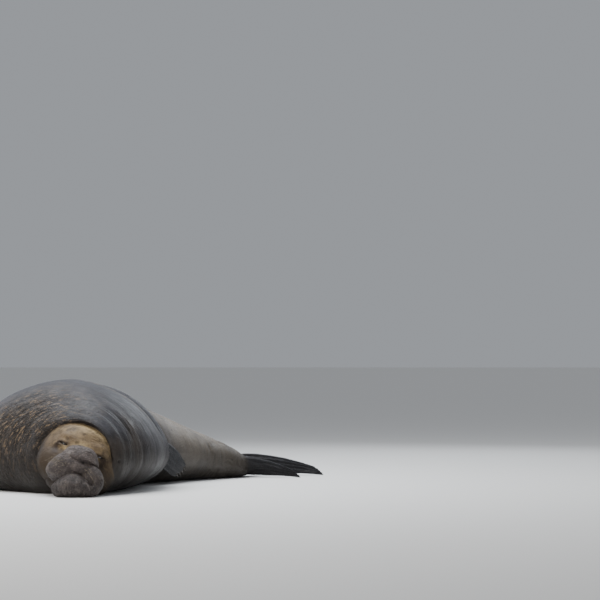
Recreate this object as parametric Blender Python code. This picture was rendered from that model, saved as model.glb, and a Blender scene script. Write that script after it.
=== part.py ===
# Bull elephant seal asleep on flat ground, life size, as a still museum model.
# Metres, +Z up, ground at z = 0. The face looks along -Y and the body bends towards +X.
# The animal is lofted from named sections and parted into solids that meet face to face.

import math

import bmesh
import bpy
import numpy as np
from mathutils import Matrix, Vector


def sections(measures, **rows):
    """Named sections, kept as one array for each measure."""
    return {key: np.array([row[i] for row in rows.values()], float) for i, key in enumerate(measures.split())}


GAP = 0.0003  # clearance between solids that touch

# The footprint's middle in the plan that the sections are drawn in; the model is moved there.
PLAN_CENTRE = (-1.2466, 1.7115)

# The body from the hood of neck skin to the rump. A section stands upright across the body.
# at: place along the loft. x, y: its middle in plan. turn: degrees turned towards +X at the tail.
# left, right: half widths on the animal's own sides. top, mid, low: heights of the back, of the
# widest level and of the underside. lean: how far the back trails the flank, per metre of height.
# full: how square the upper half is, where 2 is an ellipse.
BODY = sections(
    "at x y turn left right top mid low lean full",
    throat=(0.00, -1.560, 0.640, 14, 0.150, 0.170, 0.400, 0.27, 0.12, 0.00, 2.0),
    hood_root=(0.10, -1.572, 0.520, 14, 0.220, 0.250, 0.490, 0.26, 0.06, 0.00, 2.0),
    hood_lip=(0.20, -1.588, 0.450, 14, 0.268, 0.312, 0.531, 0.25, 0.025, 0.00, 2.0),
    hood=(0.32, -1.612, 0.545, 13, 0.375, 0.435, 0.618, 0.25, -0.03, 0.05, 2.0),
    neck=(0.62, -1.675, 0.780, 9, 0.540, 0.630, 0.722, 0.27, -0.04, 0.10, 1.85),
    shoulders=(1.05, -1.750, 1.200, 6, 0.735, 0.785, 0.816, 0.28, -0.05, 0.20, 1.70),
    chest=(1.46, -1.700, 1.600, 12, 0.735, 0.745, 0.798, 0.26, -0.05, 0.30, 1.55),
    ribs=(1.90, -1.560, 2.000, 27, 0.570, 0.640, 0.705, 0.25, -0.05, 0.35, 1.55),
    belly=(2.42, -1.240, 2.440, 39, 0.440, 0.530, 0.545, 0.22, -0.04, 0.20, 1.80),
    hips=(3.00, -0.840, 2.900, 51, 0.310, 0.360, 0.360, 0.16, -0.03, 0.10, 2.0),
    ankles=(3.42, -0.520, 3.150, 60, 0.180, 0.190, 0.205, 0.10, -0.02, 0.00, 2.2),
    rump=(3.58, -0.405, 3.215, 64, 0.050, 0.050, 0.125, 0.08, 0.035, 0.00, 2.2),
)
BODY_SEGMENTS = 36
UNDERSIDE_FULL = 2.3
# Where the body is parted: from and to, as places along the loft, and the rings between them.
BODY_NODES = {
    "neck": (0.00, 0.86, 24),
    "chest": (0.86, 1.74, 20),
    "belly": (1.74, 2.72, 19),
    "hindquarters": (2.72, 3.58, 11),
}

# Folds of skin on the body, strongest at the angle "around", where 0 is the animal's left flank
# and 90 its back, and fading over "spread" degrees to each side. A negative depth is a roll.
BODY_FOLDS = sections(
    "at around spread width depth",
    armpit_crease=(1.70, -5, 50, 0.045, 0.120),
    flank_roll=(1.86, 5, 55, 0.085, -0.028),
    flank_crease=(2.06, 30, 55, 0.040, 0.032),
    hood_fold=(0.36, 100, 70, 0.030, 0.018),
    nape_fold=(0.52, 75, 75, 0.038, 0.020),
    second_nape_fold=(0.72, 110, 60, 0.040, 0.016),
    throat_fold=(0.46, -20, 40, 0.034, 0.013),
    neck_fold=(0.68, -5, 40, 0.036, 0.010),
    far_neck_fold=(0.60, 185, 45, 0.036, 0.018),
    far_armpit=(1.66, 185, 38, 0.050, 0.070),
    shoulder_roll=(1.24, 50, 34, 0.100, -0.016),
    shoulder_crease=(1.42, 55, 30, 0.050, 0.050),
    mid_roll=(1.57, 50, 30, 0.075, -0.018),
)

# The head's own frame: x to the animal's left, y backwards, z up through the crown. Its origin
# lies between the eyes. pear: how much narrower a section is at its top.
HEAD_PLACE = (-1.542, 0.360, 0.325)
HEAD_ROLL, HEAD_YAW = 21, 2  # degrees
HEAD = sections(
    "y half top low pear",
    nape=(0.460, 0.270, 0.120, -0.28, 0.00),
    crown=(0.260, 0.295, 0.190, -0.34, 0.05),
    brow_back=(0.120, 0.285, 0.172, -0.34, 0.10),
    brow=(0.010, 0.255, 0.122, -0.33, 0.16),
    eyes=(-0.070, 0.222, 0.060, -0.30, 0.22),
    bridge=(-0.110, 0.200, 0.010, -0.285, 0.20),
    muzzle=(-0.150, 0.160, -0.055, -0.27, 0.10),
    lips=(-0.180, 0.085, -0.120, -0.24, 0.00),
)
HEAD_SEGMENTS, HEAD_RINGS, HEAD_FULL = 40, 26, 2.3
# Local swellings and hollows of the head: their centre (cx, cy, cz), their reach along each axis
# (rx, ry, rz) and how the skin moves (mx, my, mz). A pair is made on both sides.
HEAD_FORMS = sections(
    "cx cy cz rx ry rz mx my mz pair",
    brow_ridge=(0.140, -0.040, 0.055, 0.065, 0.060, 0.026, 0.006, -0.022, 0.012, 1),
    eye_hollow=(0.150, -0.080, -0.052, 0.065, 0.050, 0.026, -0.012, 0.016, 0.0, 1),
    cheek=(0.235, -0.020, -0.150, 0.090, 0.110, 0.090, 0.026, -0.010, 0.0, 1),
    temple=(0.215, 0.060, 0.040, 0.060, 0.070, 0.050, -0.012, 0.0, -0.004, 1),
    forehead=(0.0, 0.020, 0.120, 0.150, 0.070, 0.060, 0.0, -0.018, 0.008, 0),
)
LOWER_JAW = sections(
    "y half top low pear",
    throat=(0.100, 0.150, -0.230, -0.350, 0),
    angle=(0.000, 0.165, -0.225, -0.350, 0),
    cheek=(-0.090, 0.150, -0.222, -0.345, 0),
    chin=(-0.165, 0.105, -0.222, -0.335, 0),
    chin_tip=(-0.205, 0.045, -0.240, -0.300, 0),
)
JAW_SEGMENTS, JAW_RINGS = 20, 9

# The proboscis, in the head's frame. Its sections turn from facing up to facing forwards, by
# "bend" degrees. outer and inner are its depths in front of and behind its middle line.
TRUNK = sections(
    "x y z bend left right outer inner",
    root=(0.000, 0.030, -0.075, 0, 0.080, 0.080, 0.070, 0.04),
    bridge=(-0.005, -0.020, -0.060, 12, 0.108, 0.100, 0.078, 0.04),
    upper_lobe_top=(0.000, -0.075, -0.052, 36, 0.126, 0.106, 0.090, 0.03),
    upper_lobe=(0.006, -0.108, -0.060, 60, 0.146, 0.120, 0.108, 0.03),
    first_crease=(0.005, -0.130, -0.086, 76, 0.160, 0.142, 0.108, 0.03),
    middle_lobe=(0.005, -0.140, -0.120, 86, 0.180, 0.165, 0.112, 0.04),
    second_crease=(0.003, -0.145, -0.160, 91, 0.185, 0.184, 0.108, 0.05),
    whisker_pads=(0.000, -0.142, -0.205, 95, 0.168, 0.188, 0.098, 0.05),
    lip=(0.000, -0.135, -0.250, 98, 0.125, 0.155, 0.060, 0.05),
    lip_edge=(0.000, -0.130, -0.283, 100, 0.060, 0.070, 0.025, 0.03),
)
TRUNK_SEGMENTS, TRUNK_RINGS = 32, 30
# The creases between its lobes: the section they lie at, their depth, their half width in
# sections, and the angle they are deepest at, where 0 is the animal's left and 90 the front.
TRUNK_CREASES = sections(
    "at depth width around spread",
    first=(4.1, 0.064, 0.25, 26, 50),
    second=(6.0, 0.044, 0.30, 44, 42),
)
TRUNK_FORMS = sections(
    "cx cy cz rx ry rz mx my mz pair",
    upper_lobe_swell=(0.080, -0.130, 0.015, 0.075, 0.080, 0.060, 0.008, -0.004, 0.018, 0),
)

# The last lobe hangs to the ground and is turned to the animal's right. In the plan's frame.
# wide: half its width. under, over: its depths on the outer and the inner side of its bend.
LAST_LOBE = sections(
    "x y z wide under over",
    in_middle_lobe=(-1.570, 0.215, 0.212, 0.046, 0.036, 0.028),
    along_it=(-1.500, 0.196, 0.192, 0.056, 0.044, 0.034),
    its_end=(-1.444, 0.174, 0.162, 0.060, 0.049, 0.034),
    turn=(-1.420, 0.155, 0.112, 0.060, 0.050, 0.030),
    bend=(-1.446, 0.136, 0.060, 0.066, 0.055, 0.032),
    belly=(-1.512, 0.112, 0.060, 0.086, 0.063, 0.066),
    middle=(-1.585, 0.108, 0.078, 0.096, 0.084, 0.090),
    neck=(-1.652, 0.130, 0.066, 0.086, 0.072, 0.074),
    tip=(-1.704, 0.158, 0.054, 0.064, 0.054, 0.054),
    end=(-1.724, 0.170, 0.050, 0.026, 0.024, 0.024),
)
LOBE_SEGMENTS, LOBE_RINGS = 22, 24
# Flesh that closes the gap inside the last lobe's bend.
CREASE_FLOOR = dict(place=(-1.468, 0.160, 0.140), sizes=(0.062, 0.052, 0.060))
# nudge: from the end of the last lobe's path to the middle between the nostrils.
NOSTRIL = dict(long=0.020, tall=0.008, deep=0.022, spacing=0.052, nudge=(0.002, -0.006))
NOSTRIL_AXES = ((0.25, -0.9, 0.35), (-1, 0, 0.1), (0.1, 0.35, 0.9))

# Eyes, shut: the middle of the lids in the head's frame, the way they face, and their sizes.
EYE_PLACE = (0.133, -0.072, -0.003)
EYE_FACING = (0.62, -0.74, 0.26)
EYE_RADIUS = 0.026
EYE_BEHIND = 0.005  # the ball's front, behind the lids' crest
LID = dict(long=0.054, deep=0.010, tall=0.025)
SLIT = dict(long=0.038, deep=0.024, tall=0.0040)
SLIT_OUT = 0.014  # the slit's middle, out from the lids' middle
EAR_PLACE = (0.268, 0.045, 0.012)
EAR = dict(long=0.016, deep=0.018, tall=0.006)
EAR_AXES = ((0, 1, 0.3), (1, 0, 0), (0, -0.3, 1))

# A flipper is a flat loft from root to tip. digits: where each digit lies across it, from -1 to
# 1. reach: how far each digit passes the flipper's end. web_dip: how far the web falls short of
# its digits, in metres.
FORE_FLIPPER = dict(
    widths=(0.080, 0.100, 0.118, 0.116, 0.092),
    thick=(0.062, 0.046, 0.032, 0.022, 0.012),
    digits=(-0.86, -0.44, -0.02, 0.40, 0.82),
    reach=(0.070, 0.048, 0.018, -0.024, -0.070),
    web_dip=0.020,
    claws=True,
)
HIND_FLIPPER = dict(
    widths=(0.076, 0.086, 0.074, 0.054, 0.030),
    thick=(0.080, 0.064, 0.048, 0.034, 0.016),
    digits=(-0.86, -0.46, 0.0, 0.46, 0.86),
    reach=(0.056, 0.018, -0.008, -0.014, -0.010),
    web_dip=0.022,
    claws=False,
)
FLIPPER_SEGMENTS, FLIPPER_RINGS = 30, 12
DIGIT_WIDTH = 0.14  # of the flipper's half width
WEB_THICKNESS = 0.62  # of a digit's thickness
# root, bend, tip: its middle line in the plan's frame. across: the way to its first digit.
FLIPPERS = {
    "fore_flipper_left": dict(
        kind=FORE_FLIPPER, root=(-1.15, 1.72, 0.30), bend=(-1.00, 1.85, 0.22), tip=(-0.925, 2.06, 0.100),
        across=(-0.10, -0.45, -0.88),
    ),
    "fore_flipper_right": dict(
        kind=FORE_FLIPPER, root=(-2.28, 1.54, 0.20), bend=(-2.56, 1.66, 0.08), tip=(-2.62, 1.98, 0.022),
        across=(-0.75, -0.30, -0.15),
    ),
    "hind_flipper_left": dict(
        kind=HIND_FLIPPER, root=(-0.62, 3.09, 0.105), bend=(-0.30, 3.03, 0.098), tip=(-0.04, 2.99, 0.036),
        across=(0.0, -0.42, 0.90),
    ),
    "hind_flipper_right": dict(
        kind=HIND_FLIPPER, root=(-0.60, 3.22, 0.105), bend=(-0.20, 3.34, 0.112), tip=(0.15, 3.40, 0.038),
        across=(0.0, 0.30, 0.95),
    ),
}
CLAW = dict(length=0.040, root=0.0080, point=0.0012)
TAIL = dict(root=(-0.50, 3.165, 0.150), heading=62, droop=0.20, length=0.17, half=0.050, thick=0.026)
TAIL_SEGMENTS, TAIL_RINGS = 18, 9

# The colour and roughness of each solid.
SKIN = {
    "neck": ((0.115, 0.108, 0.112), 0.62),
    "chest": ((0.135, 0.132, 0.142), 0.58),
    "belly": ((0.215, 0.190, 0.165), 0.66),
    "hindquarters": ((0.300, 0.265, 0.235), 0.66),
    "tail": ((0.120, 0.108, 0.100), 0.60),
    "head": ((0.270, 0.205, 0.140), 0.66),
    "lower_jaw": ((0.120, 0.095, 0.080), 0.62),
    "proboscis": ((0.125, 0.102, 0.098), 0.50),
    "eye": ((0.012, 0.009, 0.008), 0.08),
    "flipper": ((0.050, 0.047, 0.052), 0.45),
}


# Curves

def monotone(at, value, x):
    """Smooth curve through the points that doesn't overshoot them."""
    step = np.diff(at)
    slope = np.diff(value) / step
    tangent = np.zeros_like(value)
    tangent[0], tangent[-1] = slope[0], slope[-1]
    for i in range(1, len(at) - 1):
        if slope[i - 1] * slope[i] > 0:
            a, b = 2 * step[i] + step[i - 1], step[i] + 2 * step[i - 1]
            tangent[i] = (a + b) / (a / slope[i - 1] + b / slope[i])
    k = np.clip(np.searchsorted(at, x) - 1, 0, len(step) - 1)
    t = (x - at[k]) / step[k]
    return (
        (1 + 2 * t) * (1 - t) ** 2 * value[k]
        + t * (1 - t) ** 2 * step[k] * tangent[k]
        + t * t * (3 - 2 * t) * value[k + 1]
        + t * t * (t - 1) * step[k] * tangent[k + 1]
    )


def natural(at, value, x):
    """Evenly bending curve through the points, for a path."""
    n, step = len(at), np.diff(at)
    system, right = np.eye(n), np.zeros(n)
    for i in range(1, n - 1):
        system[i, i - 1 : i + 2] = step[i - 1], 2 * (step[i - 1] + step[i]), step[i]
        right[i] = 6 * ((value[i + 1] - value[i]) / step[i] - (value[i] - value[i - 1]) / step[i - 1])
    bend = np.linalg.solve(system, right)
    k = np.clip(np.searchsorted(at, x) - 1, 0, n - 2)
    before, after = at[k + 1] - x, x - at[k]
    return (
        (bend[k] * before**3 + bend[k + 1] * after**3) / (6 * step[k])
        + (value[k] / step[k] - bend[k] * step[k] / 6) * before
        + (value[k + 1] / step[k] - bend[k + 1] * step[k] / 6) * after
    )


def power(value, exponent):
    return np.sign(value) * np.abs(value) ** exponent


def bell(x, width):
    return np.exp(-((x / width) ** 2))


def angles(segments):
    return np.linspace(0, 2 * math.pi, segments, endpoint=False)


def angle_off(theta, around):
    """Degrees between an angle round a section and a fold's own angle."""
    return (np.degrees(theta) - around + 180) % 360 - 180


def on_ground(points):
    points[..., 2] = np.maximum(points[..., 2], 0)
    return points


def unit(vector):
    vector = np.asarray(vector, float)
    return vector / np.linalg.norm(vector, axis=-1, keepdims=True)


# Skins: each function gives rings of points in the plan's frame

def body_points(at, theta):
    """The body's skin at places along the loft and angles round it."""
    x, y = (natural(BODY["at"], BODY[key], at) for key in "xy")
    turn, left, right, top, mid, low, lean, full = (
        monotone(BODY["at"], BODY[key], at) for key in "turn left right top mid low lean full".split()
    )
    c, s = np.cos(theta), np.sin(theta)
    full = np.where(s > 0, full, UNDERSIDE_FULL)
    across = np.where(c > 0, left, right) * power(c, 2 / full)
    rise = np.where(s > 0, top - mid, mid - low) * power(s, 2 / full)
    pull = np.zeros_like(across)
    for fold, around, spread, width, depth in zip(*BODY_FOLDS.values()):
        pull += depth * bell(at - fold, width) * bell(angle_off(theta, around), spread)
    keep = 1 - pull / np.maximum(np.hypot(across, rise), 0.05)
    across, rise = across * keep, rise * keep
    turn = np.radians(turn)
    trail = lean * rise
    east = x + np.cos(turn) * across + np.sin(turn) * trail
    north = y - np.sin(turn) * across + np.cos(turn) * trail
    return on_ground(np.stack([east, north, mid + rise], axis=-1))


def head_turn():
    yaw, roll = math.radians(HEAD_YAW), math.radians(HEAD_ROLL)
    return np.array(Matrix.Rotation(yaw, 3, "Z") @ Matrix.Rotation(roll, 3, "Y"))


def head_to_plan(points):
    return np.asarray(points) @ head_turn().T + np.array(HEAD_PLACE)


def formed(points, forms):
    """The points after the named swellings and hollows."""
    for cx, cy, cz, rx, ry, rz, mx, my, mz, pair in zip(*forms.values()):
        for side in (1, -1) if pair else (1,):
            off = (points - (cx * side, cy, cz)) / (rx, ry, rz)
            strength = np.exp(-(off**2).sum(-1, keepdims=True))
            points = points + strength * (mx * side, my, mz)
    return points


def head_points(table, theta, rings, forms=None):
    """The head or the jaw, lofted from back to front."""
    places = -table["y"]
    along = np.linspace(0, 1, rings)[:, None]
    along = places[0] + (places[-1] - places[0]) * (1 - (1 - along) ** 1.5)
    half, top, low, pear = (monotone(places, table[key], along) for key in "half top low pear".split())
    lift = power(np.sin(theta), 2 / HEAD_FULL)
    across = half * power(np.cos(theta), 2 / HEAD_FULL) * (1 - pear * lift)
    height = (top + low) / 2 + (top - low) / 2 * lift
    points = np.stack([across, -along + 0 * across, height], axis=-1)
    if forms:
        points = formed(points, forms)
    return on_ground(head_to_plan(points))


def trunk_points(theta, rings):
    """The proboscis' lobes over the muzzle."""
    places = np.arange(len(TRUNK["x"]), dtype=float)
    along = np.linspace(0, places[-1], rings)[:, None]
    x, y, z = (natural(places, TRUNK[key], along) for key in "xyz")
    bend, left, right, outer, inner = (
        monotone(places, TRUNK[key], along) for key in "bend left right outer inner".split()
    )
    c, s = np.cos(theta), np.sin(theta)
    across = np.where(c > 0, left, right) * power(c, 0.9)
    out = np.where(s > 0, outer, inner) * power(s, 0.9)
    pull = 0
    for crease, depth, width, around, spread in zip(*TRUNK_CREASES.values()):
        pull = pull + depth * bell(along - crease, width) * bell(angle_off(theta, around), spread)
    keep = 1 - pull / np.maximum(np.hypot(across, out), 0.03)
    bend = np.radians(bend)
    points = [x + across * keep, y - np.sin(bend) * out * keep, z + np.cos(bend) * out * keep]
    return on_ground(head_to_plan(formed(np.stack(points, axis=-1), TRUNK_FORMS)))


def lobe_points(theta, rings):
    """The proboscis' last lobe, a tube with its sections square to its path."""
    places = np.arange(len(LAST_LOBE["x"]), dtype=float)
    along = np.linspace(0, places[-1], rings)
    path = np.stack([natural(places, LAST_LOBE[key], along) for key in "xyz"], axis=-1)
    wide, under, over = (
        monotone(places, LAST_LOBE[key], along)[:, None, None] for key in ("wide", "under", "over")
    )
    ahead = unit(np.gradient(path, axis=0))
    out = unit(np.cross(ahead, (0.0, 1.0, 0.0)))
    side = np.cross(out, ahead)
    c, s = np.cos(theta)[:, None], np.sin(theta)[:, None]
    depth = np.where(s > 0, under, over)
    return on_ground(path[:, None] + side[:, None] * wide * c + out[:, None] * depth * s)


def flipper_points(place, theta, rings):
    """A flipper from root to tip, with its digits raised on both faces and reaching past its web."""
    kind = place["kind"]
    root, middle, tip = (np.array(place[key]) for key in ("root", "bend", "tip"))
    u = np.linspace(0, 1, rings)[:, None] ** 0.85
    v = power(np.cos(theta), 0.85)
    knots = np.linspace(0, 1, len(kind["widths"]))
    half, thick = (monotone(knots, np.array(kind[key]), u) for key in ("widths", "thick"))
    path = (1 - u) ** 2 * root + 2 * u * (1 - u) * middle + u**2 * tip
    ahead = unit((1 - u) * (middle - root) + u * (tip - middle))
    across = np.array(place["across"])
    side = unit(across - (ahead @ across)[:, None] * ahead)
    face = np.cross(ahead, side)
    digits = np.array(kind["digits"])
    ridge = sum(bell(v - digit, DIGIT_WIDTH) for digit in digits)
    reach = np.interp(v, digits, kind["reach"]) - kind["web_dip"] * (1 - ridge) * u**3
    thickness = thick * (WEB_THICKNESS + (1 - WEB_THICKNESS) * ridge) * power(np.sin(theta), 0.75)
    return on_ground(
        path[:, None]
        + ahead[:, None] * (u**3 * reach)[..., None]
        + side[:, None] * (half * v)[..., None]
        + face[:, None] * (thickness / 2)[..., None]
    )


def tail_points(theta, rings):
    heading = math.radians(TAIL["heading"])
    ahead = np.array([math.sin(heading), math.cos(heading), -TAIL["droop"]])
    side = np.array([math.cos(heading), -math.sin(heading), 0.0])
    u = np.linspace(0, 1, rings)[:, None]
    size = np.sqrt(1 - (u * 0.97) ** 2.6)
    path = np.array(TAIL["root"]) + u * TAIL["length"] * ahead
    across = TAIL["half"] * size * np.cos(theta)
    rise = TAIL["thick"] * size * np.sin(theta)
    return path[:, None] + side * across[..., None] + np.array([0, 0, 1.0]) * rise[..., None]


# Solids

def collection(name, shown):
    made = bpy.data.collections.new(name)
    bpy.context.scene.collection.children.link(made)
    made.hide_render = not shown
    return made


def solid(name, bm, home):
    """An object from a closed bmesh, in triangles that face out. Those for cutting stay hidden."""
    bmesh.ops.triangulate(bm, faces=bm.faces)
    bm.normal_update()
    bmesh.ops.recalc_face_normals(bm, faces=bm.faces)
    if bm.calc_volume(signed=True) < 0:
        bmesh.ops.reverse_faces(bm, faces=bm.faces)
    mesh = bpy.data.meshes.new(name)
    bm.to_mesh(mesh)
    bm.free()
    made = bpy.data.objects.new(name, mesh)
    home.objects.link(made)
    made.hide_render = home.hide_render
    made.display_type = "WIRE" if home.hide_render else "TEXTURED"
    return made


def lofted(name, rings, home):
    """A solid through rings of points, each end closed by a fan."""
    bm = bmesh.new()
    verts = [[bm.verts.new(point) for point in ring] for ring in rings]
    for a, b in zip(verts, verts[1:]):
        for i in range(len(a)):
            bm.faces.new((a[i - 1], a[i], b[i], b[i - 1]))
    for ring in (verts[0], verts[-1]):
        middle = bm.verts.new(sum((vert.co for vert in ring), Vector()) / len(ring))
        for i in range(len(ring)):
            bm.faces.new((middle, ring[i - 1], ring[i]))
    return solid(name, bm, home)


def ellipsoid(name, place, axes, sizes, home, segments=14, rings=8):
    """A ball stretched along three axes."""
    bm = bmesh.new()
    bmesh.ops.create_uvsphere(bm, u_segments=segments, v_segments=rings, radius=1)
    frame = unit(axes).T * np.array(list(sizes))
    for vert in bm.verts:
        vert.co = Vector(frame @ np.array(vert.co) + np.array(place))
    return solid(name, bm, home)


def islands(bm):
    """The separate surfaces of a mesh, the largest last."""
    left, found = set(bm.verts), []
    while left:
        island, edge = set(), [left.pop()]
        while edge:
            vert = edge.pop()
            island.add(vert)
            others = {link.other_vert(vert) for link in vert.link_edges} & left
            left -= others
            edge.extend(others)
        found.append(island)
    return sorted(found, key=len)


def combine(target, tools, operation):
    """Joins the tools to the target or cuts them from it, and keeps the largest closed surface."""
    group = bpy.data.collections.new(f"{target.name}_{operation.lower()}")
    for tool in tools:
        group.objects.link(tool)
    modifier = target.modifiers.new(operation.lower(), "BOOLEAN")
    modifier.operation = operation
    modifier.operand_type = "COLLECTION"
    modifier.collection = group
    modifier.solver = "EXACT"
    bpy.context.view_layer.update()
    graph = bpy.context.evaluated_depsgraph_get()
    mesh = bpy.data.meshes.new_from_object(target.evaluated_get(graph))
    target.modifiers.clear()
    bm = bmesh.new()
    bm.from_mesh(mesh)
    for island in islands(bm)[:-1]:
        bmesh.ops.delete(bm, geom=list(island), context="VERTS")
    bmesh.ops.dissolve_degenerate(bm, dist=1e-5, edges=bm.edges)
    bmesh.ops.triangulate(bm, faces=bm.faces)
    bm.to_mesh(mesh)
    bm.free()
    target.data = mesh
    bpy.data.collections.remove(group)
    for tool in tools:
        bpy.data.objects.remove(tool)
    return target


def grown(source, home):
    """A copy of a solid, larger by the gap that touching solids keep, to cut its neighbour with."""
    bm = bmesh.new()
    bm.from_mesh(source.data)
    bm.normal_update()
    for vert, shift in [(vert, vert.normal * GAP * 1.15) for vert in bm.verts]:
        vert.co += shift
    return solid(source.name + "_cutter", bm, home)


# Parts of the animal

def eye_axes(side):
    """Along the slit, out of the head and up, for the eye on that side."""
    out = unit((EYE_FACING[0] * side, *EYE_FACING[1:]))
    along = unit(np.cross(out, (0.0, 0.0, 1.0)))
    return np.array([along, out, np.cross(along, out)]) @ head_turn().T


def build_head(shown, tools):
    head = lofted("head", head_points(HEAD, angles(HEAD_SEGMENTS), HEAD_RINGS, HEAD_FORMS), shown)
    lids, cuts, eyes = [], [], []
    for side, name in ((1, "eye_left"), (-1, "eye_right")):
        middle = head_to_plan((EYE_PLACE[0] * side, *EYE_PLACE[1:]))
        axes = eye_axes(side)
        centre = middle - axes[1] * (EYE_RADIUS - LID["deep"] + EYE_BEHIND)
        lids.append(ellipsoid(f"lids_{side}", middle, axes, LID.values(), tools))
        eyes.append(ellipsoid(name, centre, axes, [EYE_RADIUS] * 3, shown, 12, 8))
        cuts.append(grown(eyes[-1], tools))
        slit = middle + axes[1] * SLIT_OUT
        cuts.append(ellipsoid(f"slit_{side}", slit, axes, SLIT.values(), tools))
        ear = head_to_plan((EAR_PLACE[0] * side, *EAR_PLACE[1:]))
        ear_axes = np.array(EAR_AXES) @ head_turn().T
        cuts.append(ellipsoid(f"ear_{side}", ear, ear_axes, EAR.values(), tools, 10, 6))
    combine(head, lids, "UNION")
    combine(head, cuts, "DIFFERENCE")
    return head, eyes


def build_proboscis(shown, tools):
    trunk = lofted("proboscis", trunk_points(angles(TRUNK_SEGMENTS), TRUNK_RINGS), shown)
    lobe = lofted("last_lobe", lobe_points(angles(LOBE_SEGMENTS), LOBE_RINGS), tools)
    floor = ellipsoid("crease_floor", CREASE_FLOOR["place"], np.eye(3), CREASE_FLOOR["sizes"], tools)
    combine(trunk, [lobe, floor], "UNION")
    end = np.array([LAST_LOBE[key][-1] for key in "xyz"])
    sizes = (NOSTRIL["long"], NOSTRIL["deep"], NOSTRIL["tall"])
    pits = []
    for high in (-1, 1):
        place = end + (*NOSTRIL["nudge"], NOSTRIL["spacing"] / 2 * high)
        pits.append(ellipsoid(f"nostril_{high}", place, NOSTRIL_AXES, sizes, tools, 12, 8))
    return combine(trunk, pits, "DIFFERENCE")


def build_body(shown):
    """The body's solids, parted across the loft with a gap."""
    made = {}
    for name, (start, end, rings) in BODY_NODES.items():
        at = np.linspace(start, end - 2 * GAP * (end < BODY["at"][-1]), rings)[:, None]
        made[name] = lofted(name, body_points(at, angles(BODY_SEGMENTS)), shown)
    return made


def claws_of(name, place, tools):
    """Cones at the digits' ends, with their roots bedded in the flipper."""
    kind = place["kind"]
    middle, tip, across = (np.array(place[key]) for key in ("bend", "tip", "across"))
    ahead = unit(tip - middle)
    side = unit(across - ahead * (ahead @ across))
    turn = Vector(ahead).to_track_quat("Z", "Y").to_matrix().to_4x4()
    made = []
    for i, (digit, reach) in enumerate(zip(kind["digits"], kind["reach"])):
        start = tip + side * kind["widths"][-1] * digit * 0.95 + ahead * (reach + 0.008)
        start[2] = max(start[2], CLAW["root"])
        bm = bmesh.new()
        bmesh.ops.create_cone(
            bm, cap_ends=True, segments=8, radius1=CLAW["root"], radius2=CLAW["point"], depth=CLAW["length"]
        )
        bmesh.ops.transform(bm, matrix=Matrix.Translation(start) @ turn, verts=bm.verts)
        made.append(solid(f"{name}_claw_{i}", bm, tools))
    return made


def build_flippers(shown, tools, body):
    made = {}
    for name, place in FLIPPERS.items():
        flipper = lofted(name, flipper_points(place, angles(FLIPPER_SEGMENTS), FLIPPER_RINGS), shown)
        if place["kind"]["claws"]:
            combine(flipper, claws_of(name, place, tools), "UNION")
        carriers = ("chest", "belly") if name.startswith("fore") else ("hindquarters",)
        combine(flipper, [grown(body[node], tools) for node in carriers], "DIFFERENCE")
        made[name] = flipper
    return made


def finish_surface(part):
    kind = part.name if part.name in SKIN else part.name.split("_")[-2] if "flipper" in part.name else "eye"
    colour, roughness = SKIN[kind]
    material = bpy.data.materials.new(part.name)
    material.use_nodes = True
    shader = material.node_tree.nodes["Principled BSDF"]
    shader.inputs["Base Color"].default_value = (*colour, 1)
    shader.inputs["Roughness"].default_value = roughness
    part.data.materials.clear()
    part.data.materials.append(material)
    part.data.shade_smooth()
    part.data.set_sharp_from_angle(angle=math.radians(50))


def main():
    for old in list(bpy.data.objects):
        bpy.data.objects.remove(old)
    shown, tools = collection("elephant_seal", True), collection("cutters", False)
    body = build_body(shown)
    head, eyes = build_head(shown, tools)
    jaw = lofted("lower_jaw", head_points(LOWER_JAW, angles(JAW_SEGMENTS), JAW_RINGS), shown)
    combine(jaw, [grown(body["neck"], tools)], "DIFFERENCE")
    combine(head, [grown(part, tools) for part in (body["neck"], jaw)], "DIFFERENCE")
    proboscis = build_proboscis(shown, tools)
    combine(proboscis, [grown(part, tools) for part in (head, jaw, *eyes)], "DIFFERENCE")
    flippers = build_flippers(shown, tools, body)
    tail = lofted("tail", tail_points(angles(TAIL_SEGMENTS), TAIL_RINGS), shown)
    near_tail = (body["hindquarters"], flippers["hind_flipper_left"], flippers["hind_flipper_right"])
    combine(tail, [grown(part, tools) for part in near_tail], "DIFFERENCE")
    move = Matrix.Translation((-PLAN_CENTRE[0], -PLAN_CENTRE[1], 0))
    for part in shown.objects:
        part.data.transform(move)
        finish_surface(part)


main()
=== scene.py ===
import math

import bmesh
import bpy
import numpy as np
from mathutils import Matrix, Vector
from mathutils.kdtree import KDTree


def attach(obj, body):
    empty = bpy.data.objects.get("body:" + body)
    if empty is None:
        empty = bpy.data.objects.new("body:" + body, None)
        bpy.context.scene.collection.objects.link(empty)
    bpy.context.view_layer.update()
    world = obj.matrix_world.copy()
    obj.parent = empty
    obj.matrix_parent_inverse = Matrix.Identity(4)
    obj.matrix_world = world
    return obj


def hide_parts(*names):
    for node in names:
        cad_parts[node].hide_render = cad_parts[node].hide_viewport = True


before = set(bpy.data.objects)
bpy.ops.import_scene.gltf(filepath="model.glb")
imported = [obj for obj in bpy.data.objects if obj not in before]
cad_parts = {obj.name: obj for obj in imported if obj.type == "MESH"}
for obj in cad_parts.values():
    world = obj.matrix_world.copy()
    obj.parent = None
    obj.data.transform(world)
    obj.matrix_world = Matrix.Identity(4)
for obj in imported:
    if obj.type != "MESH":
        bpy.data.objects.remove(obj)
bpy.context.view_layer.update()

# A bull elephant seal asleep on its belly, life size. Metres, floor at z = 0.
# Shapes are drawn in a plan of their own and moved by planCentre into the part's frame.
planCentre = np.array([-1.2466, 1.7115, 0.0])


# curves and noise

def sections(measures, rows):  # one array for each measure, from named rows
    return {key: np.array([row[i] for row in rows.values()], float) for i, key in enumerate(measures.split())}


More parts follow.
